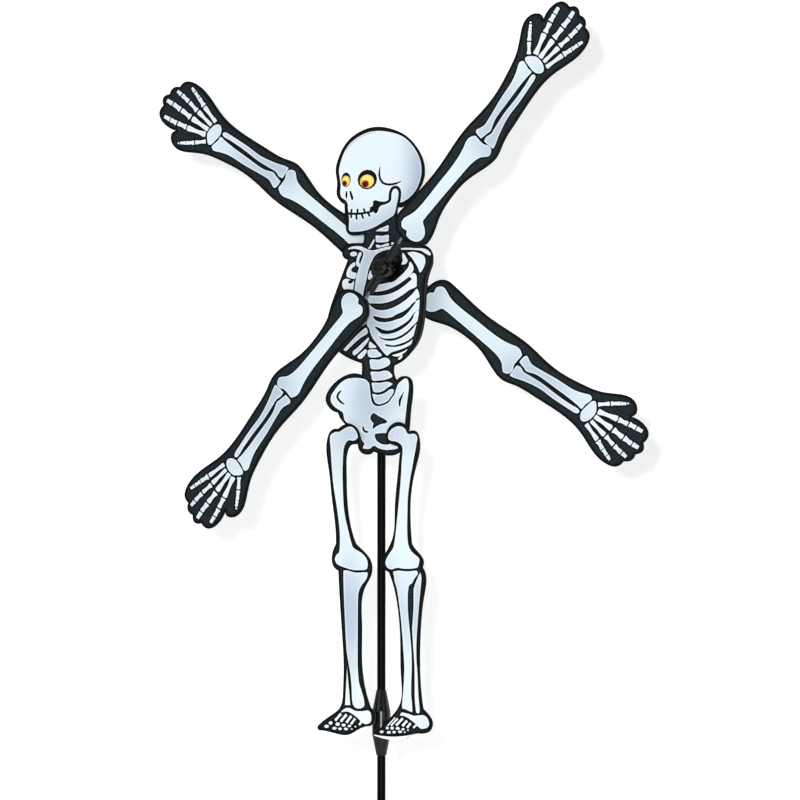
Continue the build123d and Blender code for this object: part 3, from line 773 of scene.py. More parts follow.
def panel(name, sheet, prints, cut_from, replaced, body, unevenness, shade, bare_front=False,
          spacing=1.9):
    """One printed panel as a closed mesh: both faces, and the foam round its edge."""
    low = min(sheet.depth(n)[0] for n in replaced)
    high = max(sheet.depth(n)[1] for n in replaced)
    cut = sheet.cut_lines(cut_from)
    points = [tuple(p) for line in cut for p in line]
    edges = [(2 * i, 2 * i + 1) for i in range(len(cut))]
    prints = [(kind, drawn_in(loop) if kind == "bone" else loop) for kind, loop in prints]
    for kind, loop in prints:
        first = len(points)
        points += [tuple(p) for p in loop]
        edges += [(first + i, first + (i + 1) % len(loop)) for i in range(len(loop))]
    line_starts = np.array([points[a] for a, b in edges])
    line_ends = np.array([points[b] for a, b in edges])
    corner, far_corner = cut.reshape(-1, 2).min(0), cut.reshape(-1, 2).max(0)
    row_step = spacing * 0.866                        # rows of even triangles
    rows = np.arange(corner[1], far_corner[1], row_step)
    grid = np.array([(x + (spacing / 2 if k % 2 else 0), z) for k, z in enumerate(rows)
                     for x in np.arange(corner[0], far_corner[0], spacing)])
    clear_of_lines = spacing * 0.38
    grid = grid[distance(grid, line_starts, line_ends) > clear_of_lines]
    given = [Vector(p) for p in points] + [Vector(p) for p in grid]
    made = delaunay_2d_cdt(given, edges, [], 0, 1e-4)
    flat = np.array([tuple(v) for v in made[0]])
    triangles = np.array([f for f in made[2] if len(f) == 3])
    a, b, c = flat[triangles[:, 0]], flat[triangles[:, 1]], flat[triangles[:, 2]]
    turned = (b[:, 0] - a[:, 0]) * (c[:, 1] - a[:, 1]) - (b[:, 1] - a[:, 1]) * (c[:, 0] - a[:, 0])
    triangles[turned < 0] = triangles[turned < 0][:, ::-1]
    triangles = triangles[np.abs(turned) > 1e-7]
    centres = flat[triangles].mean(1)
    kept = np.zeros(len(centres), int)
    for (x1, z1), (x2, z2) in cut:
        if z1 != z2:
            level = (centres[:, 1] < z1) != (centres[:, 1] < z2)
            kept += level & (centres[:, 0] < x1 + (centres[:, 1] - z1) * (x2 - x1) / (z2 - z1))
    triangles, centres = triangles[kept % 2 == 1], centres[kept % 2 == 1]
    picks = np.zeros(len(triangles), int)
    for kind, loop in prints:
        picks[inside(centres, [loop])] = PRINT_ORDER.index(kind)
    used = np.unique(triangles)
    renumber = np.full(len(flat), -1)
    renumber[used] = np.arange(len(used))
    flat, triangles = flat[used], renumber[triangles]

    sides = np.concatenate([triangles[:, [0, 1]], triangles[:, [1, 2]], triangles[:, [2, 0]]])
    owner = np.tile(np.arange(len(triangles)), 3)
    seen = {}
    for (i, j), face in zip(sides.tolist(), owner.tolist()):
        seen.setdefault((min(i, j), max(i, j)), []).append((i, j, face))
    rim = [uses[0][:2] for uses in seen.values() if len(uses) == 1]
    colour_edges = [key for key, uses in seen.items()
                    if len(uses) == 2 and picks[uses[0][2]] != picks[uses[1][2]]]
    rim_start, rim_end = flat[[i for i, j in rim]], flat[[j for i, j in rim]]
    from_cut = distance(flat, rim_start, rim_end)
    edge_a, edge_b = flat[[i for i, j in colour_edges]], flat[[j for i, j in colour_edges]]
    from_print = distance(flat, edge_a, edge_b)

    edge_drop, edge_width = 0.22 * MM, 1.3            # the cut rounds the cloth over the foam
    soft = edge_drop * np.clip(1 - from_cut / edge_width, 0, 1) ** 2
    lift = bulge(flat[:, 0], flat[:, 1], unevenness * MM)
    count = len(flat)
    outward = np.zeros((count, 2))
    for (i, j), start, end in zip(rim, rim_start, rim_end):
        normal = np.array([end[1] - start[1], start[0] - end[0]])
        outward[i] += normal
        outward[j] += normal
    outward /= np.maximum(np.linalg.norm(outward, axis=1), 1e-9)[:, None]

    def layer(places, depths):
        return [sheet.zero + sheet.right * (x * MM) + sheet.up * (z * MM) + sheet.out * d
                for (x, z), d in zip(places, depths)]

    rim_points = sorted({i for line in rim for i in line})
    rim_number = {i: k for k, i in enumerate(rim_points)}
    on_rim = np.array(rim_points)
    foam_share, foam_swell = 0.16, 0.06
    foam_front = high - soft - (high - low) * foam_share + lift
    foam_back = low + soft + (high - low) * foam_share + lift
    swell = flat[on_rim] + outward[on_rim] * foam_swell
    vertices = layer(flat, high - soft + lift) + layer(flat, low + soft + lift)
    vertices += layer(swell, foam_front[on_rim]) + layer(swell, foam_back[on_rim])
    ring = len(on_rim)
    faces = triangles.tolist() + (triangles[:, ::-1] + count).tolist()
    black, foam_pick = PRINT_ORDER.index("ink"), len(PRINT_ORDER)
    materials = ([foam_pick] * len(picks) if bare_front else picks.tolist()) + picks.tolist()
    for i, j in rim:
        fi, fj = 2 * count + rim_number[i], 2 * count + rim_number[j]
        faces += [[j, i, fi, fj], [fj, fi, fi + ring, fj + ring],
                  [fj + ring, fi + ring, i + count, j + count]]
        materials += [black, foam_pick, black]
    piece = new_piece(name, vertices, faces, [PRINTS[k] for k in PRINT_ORDER] + [foam],
                      picks=materials, body=body, replaced=replaced)
    mesh = piece.data
    places = np.vstack([flat, flat, swell, swell])
    tint = shade(places[:, 0], places[:, 1])
    rim_zeros = np.zeros(2 * ring)
    for attribute, values in (
            ("from_print_edge", np.concatenate([from_print, from_print, rim_zeros])),
            ("from_cut_edge", np.concatenate([from_cut, from_cut, rim_zeros])),
            ("print_shade", tint)):
        mesh.attributes.new(attribute, "FLOAT", "POINT").data.foreach_set(
            "value", values.astype(np.float32))
    uv = mesh.uv_layers.new(name="sheet")
    corners = np.zeros(len(mesh.loops), int)
    mesh.loops.foreach_get("vertex_index", corners)
    map_unit_per_mm = 0.01
    uv.data.foreach_set("uv", (places[corners] * map_unit_per_mm).ravel().astype(np.float32))
    mesh.polygons.foreach_set("use_smooth", [True] * len(mesh.polygons))
    mesh.set_sharp_from_angle(angle=math.radians(50))
    mesh.update()
    return piece


# ---- The body: skull, rib cage and pelvis on one panel, with the chest hole for the hub. --------
# It is glued to the housing's front plate.  Places are in millimetres: x to the viewer's right of
# the pole and z up from the shaft.  The same print is on both faces.
skull = [
    bone((-2, 104.8), (6, 104), (14, 102), (21, 98.8), (27, 93.5), (32, 86.5), (35, 79),
         (35.6, 71), (34, 64), (30.5, 57.5), (26, 53), (21, 50), (16.8, 49), (15.3, 47.5),
         (13.8, 42.5), (12.3, 39.8), (9.5, 38.2), (3, 34.8), (-4, 31.5), (-12, 29.4), (-20, 29),
         (-24, 29.6), (-25, 32), (-24.8, 38), (-25.2, 43.5), (-25.8, 47), (-26, 50.5), (-28, 53.5),
         (-31, 55.5), (-32.2, 59), (-31.8, 65), (-32.6, 71), (-33.2, 76), (-32, 82), (-29, 89.5),
         (-24.5, 95.8), (-18, 100.5), (-10, 103.8)),
    ("ink", stroke([(-27.6, 88.9), (-23.6, 94.8), (-17.4, 99.3), (-9.6, 102.5), (-2, 103.5)],
        -0.38, taper=0.5)),
    ("ink", stroke([(1.2, 77.4), (0.5, 73), (1, 69), (3, 65.5), (6, 64), (10, 63.5), (15, 64.2),
        (18.6, 65.6)], 1.1)),
    ("ink", stroke([(9.3, 51.5), (9.5, 56), (10.6, 59.6), (13, 61.2), (15.8, 60.6), (17.4, 58),
        (17.4, 54), (16.6, 50), (15.6, 46)], 1.7, taper=1.0)),
    ("ink", curve([(-7.2, 46.8), (-5, 48.2), (-4.5, 51.5), (-2.5, 52.2), (0.5, 51.3), (5, 50.8),
        (8, 52), (9.6, 54), (10.3, 52), (9, 50), (6, 48.8), (2.5, 48), (0.5, 46.5), (-1, 43),
        (-3, 42.2), (-4.5, 44), (-7, 44.2)])),
    ("ink", stroke([(-26.5, 43.4), (-20, 42.8), (-14, 42.8), (-8, 43.5), (-4, 44.6)], 1.1,
        taper=1.0)),
    ("ink", oval(-26.8, 57.5, 0.85, 3.0)),
    ("ink", curve([(-24.2, 60.2), (-23.8, 57.5), (-22.8, 54), (-21.8, 53.2), (-21, 54.5),
        (-21.5, 56.5), (-23, 60)])),
    ("ink", oval(-9.4, 68.2, 8.1, 7.5)),
    ("yellow", oval(-9.7, 66.9, 5.9, 5.1)),
    ("red", oval(-11.1, 64.9, 2.9, 2.7)),
    ("ink", oval(-11.2, 64.6, 1.15, 1.1)),
    ("ink", oval(-27.1, 68.9, 3.9, 5.6)),
    ("yellow", oval(-27.2, 67.9, 3.4, 4.1)),
    ("red", oval(-28.4, 66.1, 2.0, 2.2)),
    ("ink", oval(-28.4, 66.3, 0.85, 0.9)),
]
for tooth in ([(-22.3, 46.7), (-23, 43)], [(-17.4, 46.6), (-17.8, 43)],
              [(-12.6, 46.6), (-11.2, 43.4)], [(-23, 43), (-22.8, 39.6)],
              [(-18.6, 43), (-18.3, 38.2)], [(-14.5, 42.8), (-12.6, 38.6)],
              [(-9, 43.4), (-7.2, 40)]):
    skull.append(("ink", stroke(tooth, 1.0, taper=0.8)))

neck = [
    bone((-2.7, 28.7), (0, 28.4), (6.5, 28), (8.2, 29), (8.3, 33), (4, 31.8), (0, 30.5)),
    bone((-2.2, 25.6), (3, 25.2), (8.2, 25.8), (8.7, 23), (8.2, 20.4), (3, 19.9), (-2.1, 20.5),
         (-2.6, 23.2)),
    bone((-2, 18.6), (2, 17.8), (6, 18.9), (8.3, 19.2), (8.7, 18), (7, 17.2), (3, 16.6),
         (-1.4, 16.4)),
    bone((-8.8, 16.2), (-7.4, 17.6), (-4.1, 22.8), (-3.6, 21), (-6.6, 16.2)),
]
shoulders = [
    bone((-25.7, 15.8), (-24.5, 17.5), (-20, 18.5), (-15, 18.2), (-12, 17), (-8, 15.2),
         (-4.5, 14.6), (-1, 15.3), (3, 16.1), (7, 16.8), (10.5, 17), (13.5, 15.8), (13, 14.4),
         (9.5, 14.3), (5, 13.7), (0, 12), (-3, 10), (-5, 7), (-7, 3), (-8.5, -1), (-9.3, -5),
         (-10.6, -10), (-12, -15), (-13.2, -20), (-16.5, -20), (-20, -19), (-20.2, -15),
         (-19.6, -10), (-18.4, -4), (-16.4, 2), (-14.6, 7), (-13, 11.2), (-13.4, 13.6),
         (-16, 15.2), (-20, 16.1), (-23.5, 16)),
    ("bone", oval(-20.8, 12.4, 2.9, 1.8)),
    bone((-14.6, 13.6), (-16.2, 13), (-17.6, 10.5), (-18.5, 7), (-18.8, 4.5), (-17, 2.5),
         (-15.2, 2.1), (-14.9, 3.7), (-16.2, 5.6), (-16, 8), (-15.1, 10.2), (-14.2, 12)),
    bone((10.8, 19.6), (12.6, 19.5), (15, 18), (16.2, 16), (15, 15.5), (12.6, 16.7), (10.7, 17.9)),
    bone((19, 15.2), (25, 15.2), (31, 14.6), (38, 14), (42, 11.6), (43.4, 9.2), (42, 8.2),
         (39, 9.6), (35, 12), (31, 12.8), (25, 13.3), (19, 13.6)),
    bone((24, 11.5), (29, 12), (34, 10.5), (37.5, 8.5), (38.8, 5.5), (38.5, 2), (36.6, -2),
         (34.6, -4.2), (33.5, -3.5), (32, 0), (29.5, 4), (27, 7.5), (24.6, 9.8)),
    bone((19.8, 11.4), (21.6, 10), (23, 7.5), (24, 5.5), (23, 3.5), (20.6, 2.5), (19, 3),
         (20, 5.5), (19.6, 8)),
]
left_ribs = [
    bone((-19.6, 6.4), (-23.5, 4.5), (-26.5, 0), (-26.8, -4), (-24, -5.8), (-20, -6.6),
         (-18.6, -5), (-18.2, -2), (-20.5, -1.4), (-22.5, 0), (-21.6, 2), (-19.5, 3.2)),
    bone((-27, -5.8), (-30, -7.5), (-30.4, -11), (-29, -14), (-26, -15.4), (-21.6, -15.4),
         (-20.8, -13), (-20.2, -9), (-20.6, -7.4), (-22.5, -9.4), (-24.6, -9.4), (-25, -8),
         (-23, -7)),
    bone((-30.6, -15.6), (-33, -18), (-33.6, -22), (-30, -24.6), (-24, -25), (-17.6, -23.4),
         (-16.6, -21), (-20, -20.6), (-25, -18)),
    bone((-33.6, -25), (-35.6, -28.6), (-34.6, -32), (-29, -33.4), (-21, -32), (-13.4, -29),
         (-12.6, -26), (-17, -26.6), (-24, -28)),
    bone((-35.4, -35), (-37.4, -38.6), (-36, -42), (-30, -42.4), (-21, -39.4), (-11.6, -35.6),
         (-11.2, -32.4), (-17, -34), (-26, -36.4)),
    bone((-36.4, -44.6), (-38.6, -48), (-36.6, -51), (-30, -50.4), (-20, -45.6), (-11, -41.2),
         (-10.6, -38.2), (-17, -40.6), (-27, -45)),
    bone((-10.5, -43.5), (-8.8, -46.5), (-9.5, -48.5), (-15, -51.5), (-21, -56), (-26.5, -60.6),
         (-28.6, -60.3), (-29, -59), (-25, -55), (-19, -49.5), (-14, -45.5)),
    bone((-8.2, -51), (-8, -53), (-10.5, -56.5), (-15, -61), (-19.5, -64.2), (-21.5, -63.5),
         (-21.5, -61), (-18, -58.5), (-12, -53.5), (-9.5, -51.5)),
    bone((-10.5, -60), (-10, -62), (-12.5, -65.5), (-15, -67), (-17, -66.4), (-17.4, -64.8),
         (-14, -62), (-12, -60.5)),
    bone((-6.5, -0.5), (-6, -3), (-5, -5), (-6.5, -7), (-8.2, -7.5), (-8.8, -6), (-8.2, -3.5)),
]
right_ribs = [
    bone((-5, -16.7), (-2, -13), (0.5, -11.5), (7, -10.5), (13, -8.5), (19, -5), (24, 0),
         (25, 2.5), (25.5, 4.5), (27.5, 3.5), (29, 0.5), (28.8, -2.5), (25, -7), (19, -11),
         (13, -14), (7, -16), (1, -17)),
    bone((-11.5, -20.6), (-9.5, -19.2), (-5, -19.6), (2, -19.8), (9, -18.8), (15, -16.8),
         (21, -13.4), (25, -10.5), (27.2, -8.5), (25, -6.9), (28.5, -4), (31.3, -5.6), (31.8, -10),
         (31.8, -15), (33.5, -19), (34, -24), (33.8, -30), (33.2, -36), (31.8, -42), (30, -48),
         (28.6, -53), (27, -57.6), (22, -60.2), (16, -62), (11, -63.2), (8.4, -65), (6.4, -65.4),
         (3, -62), (-1, -57), (-5, -52), (-7, -48), (-8, -44.5), (-10, -41.6), (-9.6, -38),
         (-8.4, -32), (-8, -26), (-9.6, -22.6)),
]
for gap in (
        [(-8, -25.6), (-5, -28.6), (-1, -30.6), (5, -31), (11, -29.8), (17, -27.3), (23, -23.8),
         (28, -19.8), (31, -16.6), (33.6, -15.4), (32.6, -13.6), (30, -15.2), (25, -17),
         (19, -20.8), (11, -24.3), (3, -25.8), (-4, -25.6)],
        [(-4.5, -35), (-1, -35.8), (5, -37), (11, -36.5), (15, -34.5), (20, -32.8), (25, -29.8),
         (29, -26.2), (34.6, -23.8), (34.6, -22.8), (31, -23.8), (30.6, -26.4), (28.5, -29),
         (25, -33), (20, -37), (15, -38.5), (10, -39.8), (4, -40.2), (-1, -39.2), (-4, -37)],
        [(-3.5, -43), (0, -44), (3, -45.5), (8, -46.5), (13, -45.5), (19, -43), (24, -40),
         (27, -37), (29.5, -34), (34.4, -32.2), (34.4, -31.2), (29.6, -34.8), (28.5, -38),
         (25, -42), (20, -45.5), (15, -47.8), (10, -49), (6, -49.2), (2, -48.5), (-1, -46)],
        [(0, -50.4), (3, -52), (7, -52.6), (13, -52.4), (19, -50.4), (24, -47.4), (27, -44.8),
         (30, -42.4), (33, -39.8), (33, -41), (30, -43.8), (28, -46.2), (23, -50.2),
         (17, -53.2), (11, -54.4), (6, -54), (2, -52.6)],
        [(5.5, -56.7), (9, -57.4), (13, -57.8), (19, -56.6), (24, -54.8), (27.5, -52.6),
         (30.4, -49.6), (30.2, -51), (28, -54), (26, -55.6), (21, -57.9), (15, -59.1),
         (11, -59.1), (6, -58.2)]):
    right_ribs.append(("black", curve(gap)))
right_ribs += [
    bone((11.5, -65.2), (16, -64.2), (21, -62.6), (23.8, -61.2), (22.2, -63.2), (17, -66.2),
         (13, -66.2)),
    bone((16, -68.2), (19, -65.4), (19.6, -66.9), (17.5, -68.8)),
]
spine = [
    bone((-7.5, -54.5), (-5.5, -55.5), (-2, -58.5), (-4, -59.2), (-8, -58.8)),
    bone((-8.8, -60.5), (-2, -60.2), (0, -62), (2.8, -64.5), (1.5, -66), (-3, -66.7), (-8, -66.1),
         (-9.2, -63.5)),
    bone((-7, -67.7), (0, -68), (4, -66.7), (8, -67.5), (9.7, -70), (9, -72.5), (5, -74.5),
         (0, -75.6), (-6, -75.1), (-7.2, -72)),
    bone((-6.5, -76.9), (0, -77.2), (5.5, -76.4), (9, -77.5), (10.5, -79), (11.6, -81),
         (10, -82.5), (5, -83.8), (0, -84.1), (-5, -83.9), (-6, -81)),
    bone((-5.5, -85.3), (1, -85.5), (7, -84.9), (10, -85.8), (11.8, -86.8), (10, -88.5), (7, -90),
         (5, -91.5), (1, -92.9), (-4, -92.4), (-5.2, -89)),
    bone((-5, -93.6), (0, -94.5), (5, -93.3), (9, -90.9), (12, -90.6), (12.8, -91.8), (12, -94.5),
         (10, -97), (8, -99.5), (4.5, -101.2), (0, -101.9), (-3, -100.4), (-4.5, -97)),
]
pelvis = [
    bone((-29.5, -83), (-26, -81.5), (-21, -81), (-16, -81.2), (-11, -82.5), (-8.5, -84.5),
         (-7.5, -86), (-7, -90), (-6.3, -95), (-5.5, -99), (-3.5, -102), (0, -103), (4.5, -102.2),
         (8.5, -100.2), (11, -97), (13, -94.5), (14.5, -90.5), (16, -87), (19, -84.5), (21.5, -83),
         (23.5, -83.2), (24.8, -85.5), (25.2, -90), (24.5, -96), (23.5, -103), (22.8, -109),
         (22.2, -114), (21.6, -119), (19, -123), (16, -127), (15, -131), (16.2, -134.8),
         (15.5, -135.7), (12, -136.3), (6, -136.5), (0, -135), (-3, -133.2), (-5, -133.5),
         (-7, -135), (-10, -135.2), (-13, -134.5), (-12.8, -132.8), (-12, -131), (-13.5, -129),
         (-14.5, -127), (-15.5, -124), (-17, -120.5), (-19, -118), (-22.5, -116), (-26, -115),
         (-28.5, -112.5), (-29, -110), (-30, -107), (-32, -105.5), (-36, -103), (-39, -100),
         (-40, -97), (-39.5, -93.5), (-37, -90), (-33, -85.5)),
    ("ink", stroke([(-30.8, -90.3), (-33, -92), (-34.2, -94.4), (-33.6, -96.4), (-31.5, -98.7),
        (-28.2, -101)], 1.1)),
    ("ink", curve([(21, -93), (19, -95.5), (17.2, -98), (16.5, -100.5), (17, -104), (17.8, -104.2),
        (18.5, -100.5), (19.7, -97)])),
    ("black", curve([(-6.8, -111.5), (-5.5, -109), (-3.5, -108.3), (0, -110.5), (4, -112.5),
        (7.2, -114.8), (6, -116.2), (2, -116.8), (-2, -118.5), (-4.5, -120.2), (-4.8, -118),
        (-4.2, -116), (-6, -114)])),
    ("ink", stroke([(-12.8, -117.6), (-12.6, -119.8), (-11.6, -121.4), (-10, -122.2),
        (-8.2, -122)], 1.0)),
    ("black", curve([(-3.2, -125), (-2, -123.8), (3, -123.5), (8, -123.8), (11, -125.4),
        (12, -129), (9, -132), (4.5, -132.2), (1, -131), (-2, -128.5)])),
]
BODY_PRINTS = skull + neck + shoulders + left_ribs + right_ribs + spine + pelvis


def body_shade(x, z):
    """Lavender towards the back of the skull and the jaw, and down the left of each bone below."""
    head = np.clip((x - 8) / 26, 0, 1) ** 1.5 + np.clip((58 - z) / 30, 0, 1) * 0.8
    below = 0.42 + 0.3 * np.sin(x * 0.09 + 2.2) + 0.12 * np.sin(z * 0.11)
    return np.where(z > 25, head, below)


def figure_sheet(name, zero_from_edge):
    """A sheet that faces forward, its zero line this far from the panel's left edge."""
    low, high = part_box(name)
    return Sheet((low.x + zero_from_edge * MM, 0, shaft_height), (1, 0, 0), (0, 0, 1))


body_sheet = figure_sheet("body_front_print", 44.2)
panel("body_panel", body_sheet, BODY_PRINTS, "body_front_print",
      ["body_front_print", "body_core", "body_back_print"], "figure", 0.12, body_shade)

# The torso's back is cut narrower than the body to the viewer's right, and its print is drawn in.
back_narrower, back_shorter = 0.9, 0.985
torso_back_prints = []
for kind, loop in shoulders + left_ribs + right_ribs + spine:
    across = np.where(loop[:, 0] > 0, back_narrower, 1) * loop[:, 0]
    torso_back_prints.append((kind, np.column_stack([across, loop[:, 1] * back_shorter])))
panel("torso_back_panel", body_sheet, torso_back_prints,
      "torso_back_print", ["torso_back_core", "torso_back_print"], "figure", 0.12, body_shade,
      bare_front=True)


# ---- Legs: one panel each, hung on a nylon tag pin through the pelvis. --------------------------
# Left and right are the viewer's.  After its long bones each foot has strips and toes.
# The right foot is printed a little high on its panel, so a white margin shows under its sole.
left_leg = [
    bone((-39.5, -126), (-38, -123), (-34.5, -121.5), (-31.5, -121.5), (-28, -119.5), (-24, -118),
         (-20.5, -118.5), (-17.5, -121.5), (-16, -125.5), (-17, -127.8), (-20, -129),
         (-23.5, -128.5), (-25.5, -130), (-27.5, -134), (-28.3, -142), (-28.6, -155),
         (-27.8, -175), (-26.3, -186), (-23.5, -197), (-21, -206), (-19, -209.5), (-13, -213),
         (-9, -217), (-7.7, -221), (-8.5, -225.5), (-13, -226.3), (-20, -226), (-25.5, -224.5),
         (-31, -222.5), (-34, -220.5), (-35.3, -217), (-33.5, -213.5), (-31.5, -211),
         (-31.2, -198), (-33.3, -181), (-36.8, -160), (-38.8, -136)),
    bone((-28.2, -228), (-27, -225.8), (-24, -226), (-18, -227.6), (-10, -227.6), (-8, -228),
         (-8, -231), (-10, -234.5), (-13, -238), (-15.2, -243), (-15.8, -252), (-16, -290),
         (-15.8, -300), (-14.8, -310), (-12.5, -317), (-10.8, -323), (-10.5, -327.5),
         (-13, -329.5), (-17, -329.5), (-20, -327), (-21, -322), (-21.5, -312), (-22.5, -303),
         (-24, -295), (-25.5, -286), (-26.3, -276), (-27, -262), (-27.7, -248)),
    bone((-25, -298), (-25.7, -308), (-26.3, -318), (-26.8, -327), (-26.8, -327), (-22, -327),
         (-22, -327), (-23, -316), (-24.2, -305)),
    bone((-29.5, -331), (-26, -328.8), (-22, -329), (-18, -331), (-12, -331.3), (-8, -330.8),
         (-5.5, -332.5), (-4.7, -336.5), (-5.5, -340), (-9, -341.5), (-12.5, -340.3),
         (-15.5, -337.5), (-20, -334), (-25, -331.8), (-29.5, -332.3)),
]
right_leg = [
    bone((8.75, -127.5), (9, -124.4), (10.6, -121.9), (13.1, -120), (16.9, -118.8), (20.6, -119.4),
         (23.1, -121.3), (24.4, -123.8), (25.6, -125), (28.1, -125), (30.6, -125), (32.5, -126.5),
         (33.1, -128.8), (32.5, -132.5), (31.3, -138.8), (30, -145), (28.8, -151.3),
         (27.5, -157.5), (26.3, -165), (25.3, -173.8), (25, -185), (24.8, -195), (25, -202.5),
         (25.6, -207.5), (27.5, -211.9), (30.6, -215), (33.8, -217.5), (34.8, -220), (34, -223.8),
         (32.5, -225.6), (26.9, -226.2), (21.3, -226), (17.5, -225.3), (15, -225.5),
         (11.9, -226.3), (9.4, -225.6), (7.3, -223.8), (6.5, -220.6), (7.5, -217.5), (10, -213.8),
         (12.8, -210), (14, -205), (14.8, -200), (15.6, -192.5), (16.5, -185), (17.3, -177.5),
         (18.1, -170), (18.8, -162.5), (19.4, -155), (19.8, -147.5), (20.3, -141.9),
         (20.6, -137.5), (20.4, -135), (19.4, -133.1), (16.9, -131.3), (13.8, -130.3),
         (11.3, -130), (9.4, -128.8)),
    bone((12.8, -227.9), (15, -227.2), (17.8, -226.9), (22.5, -227.5), (26.9, -227.6),
         (31.9, -227.3), (33.5, -228.8), (33.1, -230.6), (30.6, -233.8), (28.8, -236.9),
         (26.3, -238.8), (25.3, -245), (25.3, -253.8), (25.6, -260), (26.4, -267.5),
         (27.1, -273.8), (27.8, -281.3), (28.4, -288.8), (28.6, -297.5), (28.4, -305),
         (28.1, -312.5), (28.1, -320), (28.8, -327.5), (28.8, -332.8), (26.3, -332.3),
         (22.5, -330.6), (20.6, -330.3), (20.1, -327.5), (20.6, -322.5), (21, -318.8),
         (21.5, -312.5), (21.9, -305), (22, -297.5), (21.6, -291.3), (21.1, -285), (20.6, -277.5),
         (20, -271.3), (19.3, -263.8), (18.5, -257.5), (17.8, -252.5), (16.9, -246.3),
         (15.6, -240), (14, -235), (13.5, -231.3)),
    bone((35.3, -229), (36, -230.6), (36.5, -233.8), (35.6, -242.5), (34.8, -250), (34.1, -257.5),
         (33.5, -265), (32.9, -272.5), (32.5, -280), (32.3, -287.5), (32.5, -295), (33.1, -302.5),
         (33.5, -310), (33.8, -317.5), (34.4, -325), (35, -331.3), (34.4, -333.8), (32, -333.5),
         (31.3, -330), (30.6, -322.5), (30.5, -310), (30.4, -300), (30, -292.5), (29.4, -285),
         (28.8, -276.3), (28.5, -270), (29, -263.8), (29.6, -253.8), (29.6, -242.5), (30, -240),
         (31.3, -236.3), (33.1, -232.5), (34.5, -229.8)),
    bone((18.5, -334.6), (20, -332.8), (22.5, -333.1), (26.3, -334.1), (30.6, -335.4), (35, -335),
         (38.8, -335.4), (41.3, -337.5), (42.6, -340.6), (42.5, -343.1), (41, -344.8),
         (38.1, -345.6), (35.4, -345.4), (33.1, -343.5), (30.6, -341.3), (28.1, -339.4),
         (25, -337.3), (22.5, -336.1), (20.6, -335.6), (18.8, -335.4)),
    ("white", curve([(-6, -348), (-2.6, -349), (4, -350.2), (14, -350.9), (24, -350.3),
        (30, -349.2), (35, -348.9), (36.5, -350.5), (36, -353), (30, -356), (-8, -356)])),
]
for leg, strips, toes in (
        (left_leg,
         (((-29.9, -333.2), (-34.7, -338.1), 2.1), ((-25.3, -333.8), (-30.1, -338.9), 2.1),
          ((-21.4, -335), (-25.5, -339.9), 2.1), ((-18.2, -336.9), (-21.7, -341.1), 1.9),
          ((-13.1, -339.4), (-14.9, -341.9), 1.8)),
         ((-38.5, -339.9, 1.6, 1.3), (-32.6, -340.9, 1.9, 1.3), (-27.7, -341.7, 1.7, 1.1),
          (-22.9, -342.4, 1.4, 0.9), (-18, -343, 0.8, 0.6), (-41.8, -342.4, 1.9, 1.2),
          (-35.3, -343.9, 1.9, 1.1), (-30.7, -344.4, 1.5, 1.0), (-25.8, -344.6, 1.7, 1.0),
          (-21, -344.8, 0.9, 0.5))),
        (right_leg,
         (((14.7, -336.6), (8.5, -342.6), 1.0), ((16.8, -337.4), (11.2, -342.6), 1.4),
          ((20.9, -337.4), (15.4, -342.6), 2.0), ((24.4, -339.2), (20.6, -343.1), 2.1),
          ((27.3, -341.1), (24.4, -344.5), 2.0), ((32.1, -342.6), (29.5, -344.5), 1.7)),
         ((8.2, -344.3, 1.2, 1.1), (12.2, -344.5, 1.5, 1.1), (16.8, -344.8, 1.7, 1.1),
          (21.2, -345.5, 1.3, 0.9), (25.2, -346.3, 0.8, 0.6), (3.6, -347.1, 1.6, 1.0),
          (9.5, -347.6, 1.7, 1.0), (13.8, -347.5, 1.4, 1.0), (18.7, -347.3, 1.7, 0.9),
          (22.6, -347.7, 0.8, 0.5)))):
    for start, end, width in strips:
        leg.append(("bone", small_bone(start, end, width - 0.6, width * 0.9 - 0.6, width - 0.6)))
    leg += [("bone", oval(x, z, across, up, steps=12)) for x, z, across, up in toes]


def leg_shade(x, z):
    return 0.32 + 0.3 * np.sin(z * 0.045 + 0.6) + 0.12 * np.sin(x * 0.2)


for side, prints, zero_from_edge in (("left", left_leg, 49.6), ("right", right_leg, 3.0)):
    name = f"{side}_leg"
    panel(name + "_panel", figure_sheet(name + "_front_print", zero_from_edge), prints,
          name + "_front_print",
          [name + "_front_print", name + "_core", name + "_back_print"], name, 0.08, leg_shade)

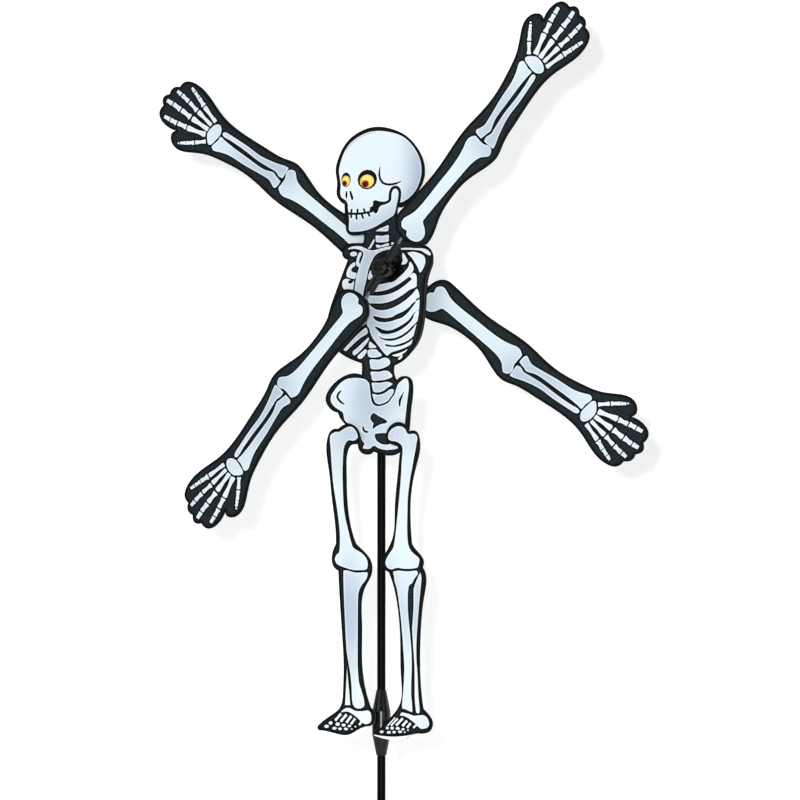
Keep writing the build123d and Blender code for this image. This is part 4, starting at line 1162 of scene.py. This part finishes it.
# ---- Arms: four alike, one on each spar. --------------------------------------------------------
# Upper arm, forearm and hand on one panel.  Places run out along the arm, and across to the thumb.
arm_bones = [
    bone((33.7, 3.7), (36.5, 5.6), (39.8, 5.6), (42.5, 4.2), (46.5, 2), (51, 0.3), (60, -1.5),
         (75, -3.5), (90, -5.7), (101, -6.6), (109, -6.3), (114, -5.6), (118, -6.4), (121, -8.8),
         (121.5, -10.5), (120.3, -15), (119.8, -19), (120.8, -23), (119, -26.5), (114.8, -27.6),
         (112.3, -25.5), (110, -22.5), (106, -20), (99, -17.8), (86.5, -15.5), (72.5, -13),
         (57.5, -10.5), (47.5, -9), (45, -9.7), (42, -13.2), (38, -15.7), (33.5, -15.5),
         (30, -12.5), (28.9, -7.5), (30, -3.2), (33, -1.5), (32.9, 1.2)),
    bone((122, -14), (123.3, -9.2), (125.5, -7.9), (128.5, -9.7), (132.5, -11.5), (142, -11.8),
         (155, -11.7), (170, -12.4), (178, -11.4), (183, -10.1), (185.8, -9.9), (188, -11.8),
         (187.3, -14.5), (185.3, -18.5), (184.4, -22.2), (179, -21.2), (170, -19.8), (155, -18.2),
         (145, -17.1), (138, -17), (131, -18.4), (127.5, -17.1), (122.3, -15.1)),
    bone((121.2, -19), (122, -17.6), (125.5, -17.6), (129.5, -19.5), (136, -19.6), (148, -20.1),
         (161.5, -21.9), (174, -22.9), (181.5, -23), (183.8, -24.3), (183.6, -26.2), (181, -27.3),
         (175, -27.1), (160, -26.2), (148.5, -24.8), (139, -25), (130, -26.1), (124, -27.2),
         (120.4, -27), (120.6, -23.5)),
    bone((188.8, -13), (191.2, -11.9), (193.8, -14.5), (195.8, -18.3), (195.8, -21.8),
         (194.2, -26.2), (191.8, -29), (189, -29.9), (186.5, -28.2), (185.2, -24.8),
         (185.6, -21.2), (187.2, -16.5)),
    ("bone", oval(215, -1.4, 0.8, 0.8, steps=8)),
]
for start, end, near, waist, far in (
        ((194.2, -13.2), (202.3, -8.2), 3.2, 2.4, 3.0),
        ((203, -7.8), (209.5, -4.3), 2.8, 2.0, 2.2),
        ((209.8, -4.2), (213.8, -2.2), 2.2, 1.6, 1.6),
        ((196.8, -17.6), (213.8, -15.2), 4.2, 3, 4.2),
        ((214.5, -15.3), (222.8, -14.7), 4.2, 3, 3.6),
        ((223.8, -14.3), (229.6, -14.2), 3.6, 2.6, 3),
        ((230.5, -14.2), (235.7, -14.2), 3, 2.4, 2.2),
        ((196.5, -22), (213.2, -23.6), 3.5, 3, 4.4),
        ((214.5, -23.6), (224.5, -25.2), 4.6, 3.2, 3.8),
        ((225.5, -25), (232.8, -26.1), 3.8, 2.8, 3),
        ((233.8, -25.9), (239.2, -26.1), 3, 2.7, 2.4),
        ((195.5, -26.2), (210.8, -30.5), 2.8, 2.6, 3.8),
        ((211.8, -30.5), (220.8, -33.6), 4, 2.6, 3.2),
        ((221.8, -33.7), (229, -35.5), 3.2, 2.4, 3), ((230, -35.5), (234.3, -36.5), 2.9, 2.3, 2),
        ((193.2, -30), (207.5, -36.2), 3.2, 2.6, 3.6),
        ((208.3, -36.6), (214.6, -40), 4, 2.4, 2.8),
        ((215.2, -40.2), (219.8, -42.4), 2.8, 1.9, 2.4),
        ((220.5, -42.6), (223.9, -44.4), 2.4, 1.9, 1.5)):
    arm_bones.append(("bone", small_bone(start, end, near, waist, far)))


def arm_shade(along, across):
    return 0.26 + 0.22 * np.sin(along * 0.05 + 1.0) - 0.01 * across


for arm in ARMS:
    sheet = Sheet(arm.centre, arm.along, arm.across)
    panel(arm.name + "_panel", sheet, arm_bones, arm.name + "_front_print",
          [arm.name + "_front_print", arm.name + "_core", arm.name + "_back_print"],
          arm.body, 0.15, arm_shade)
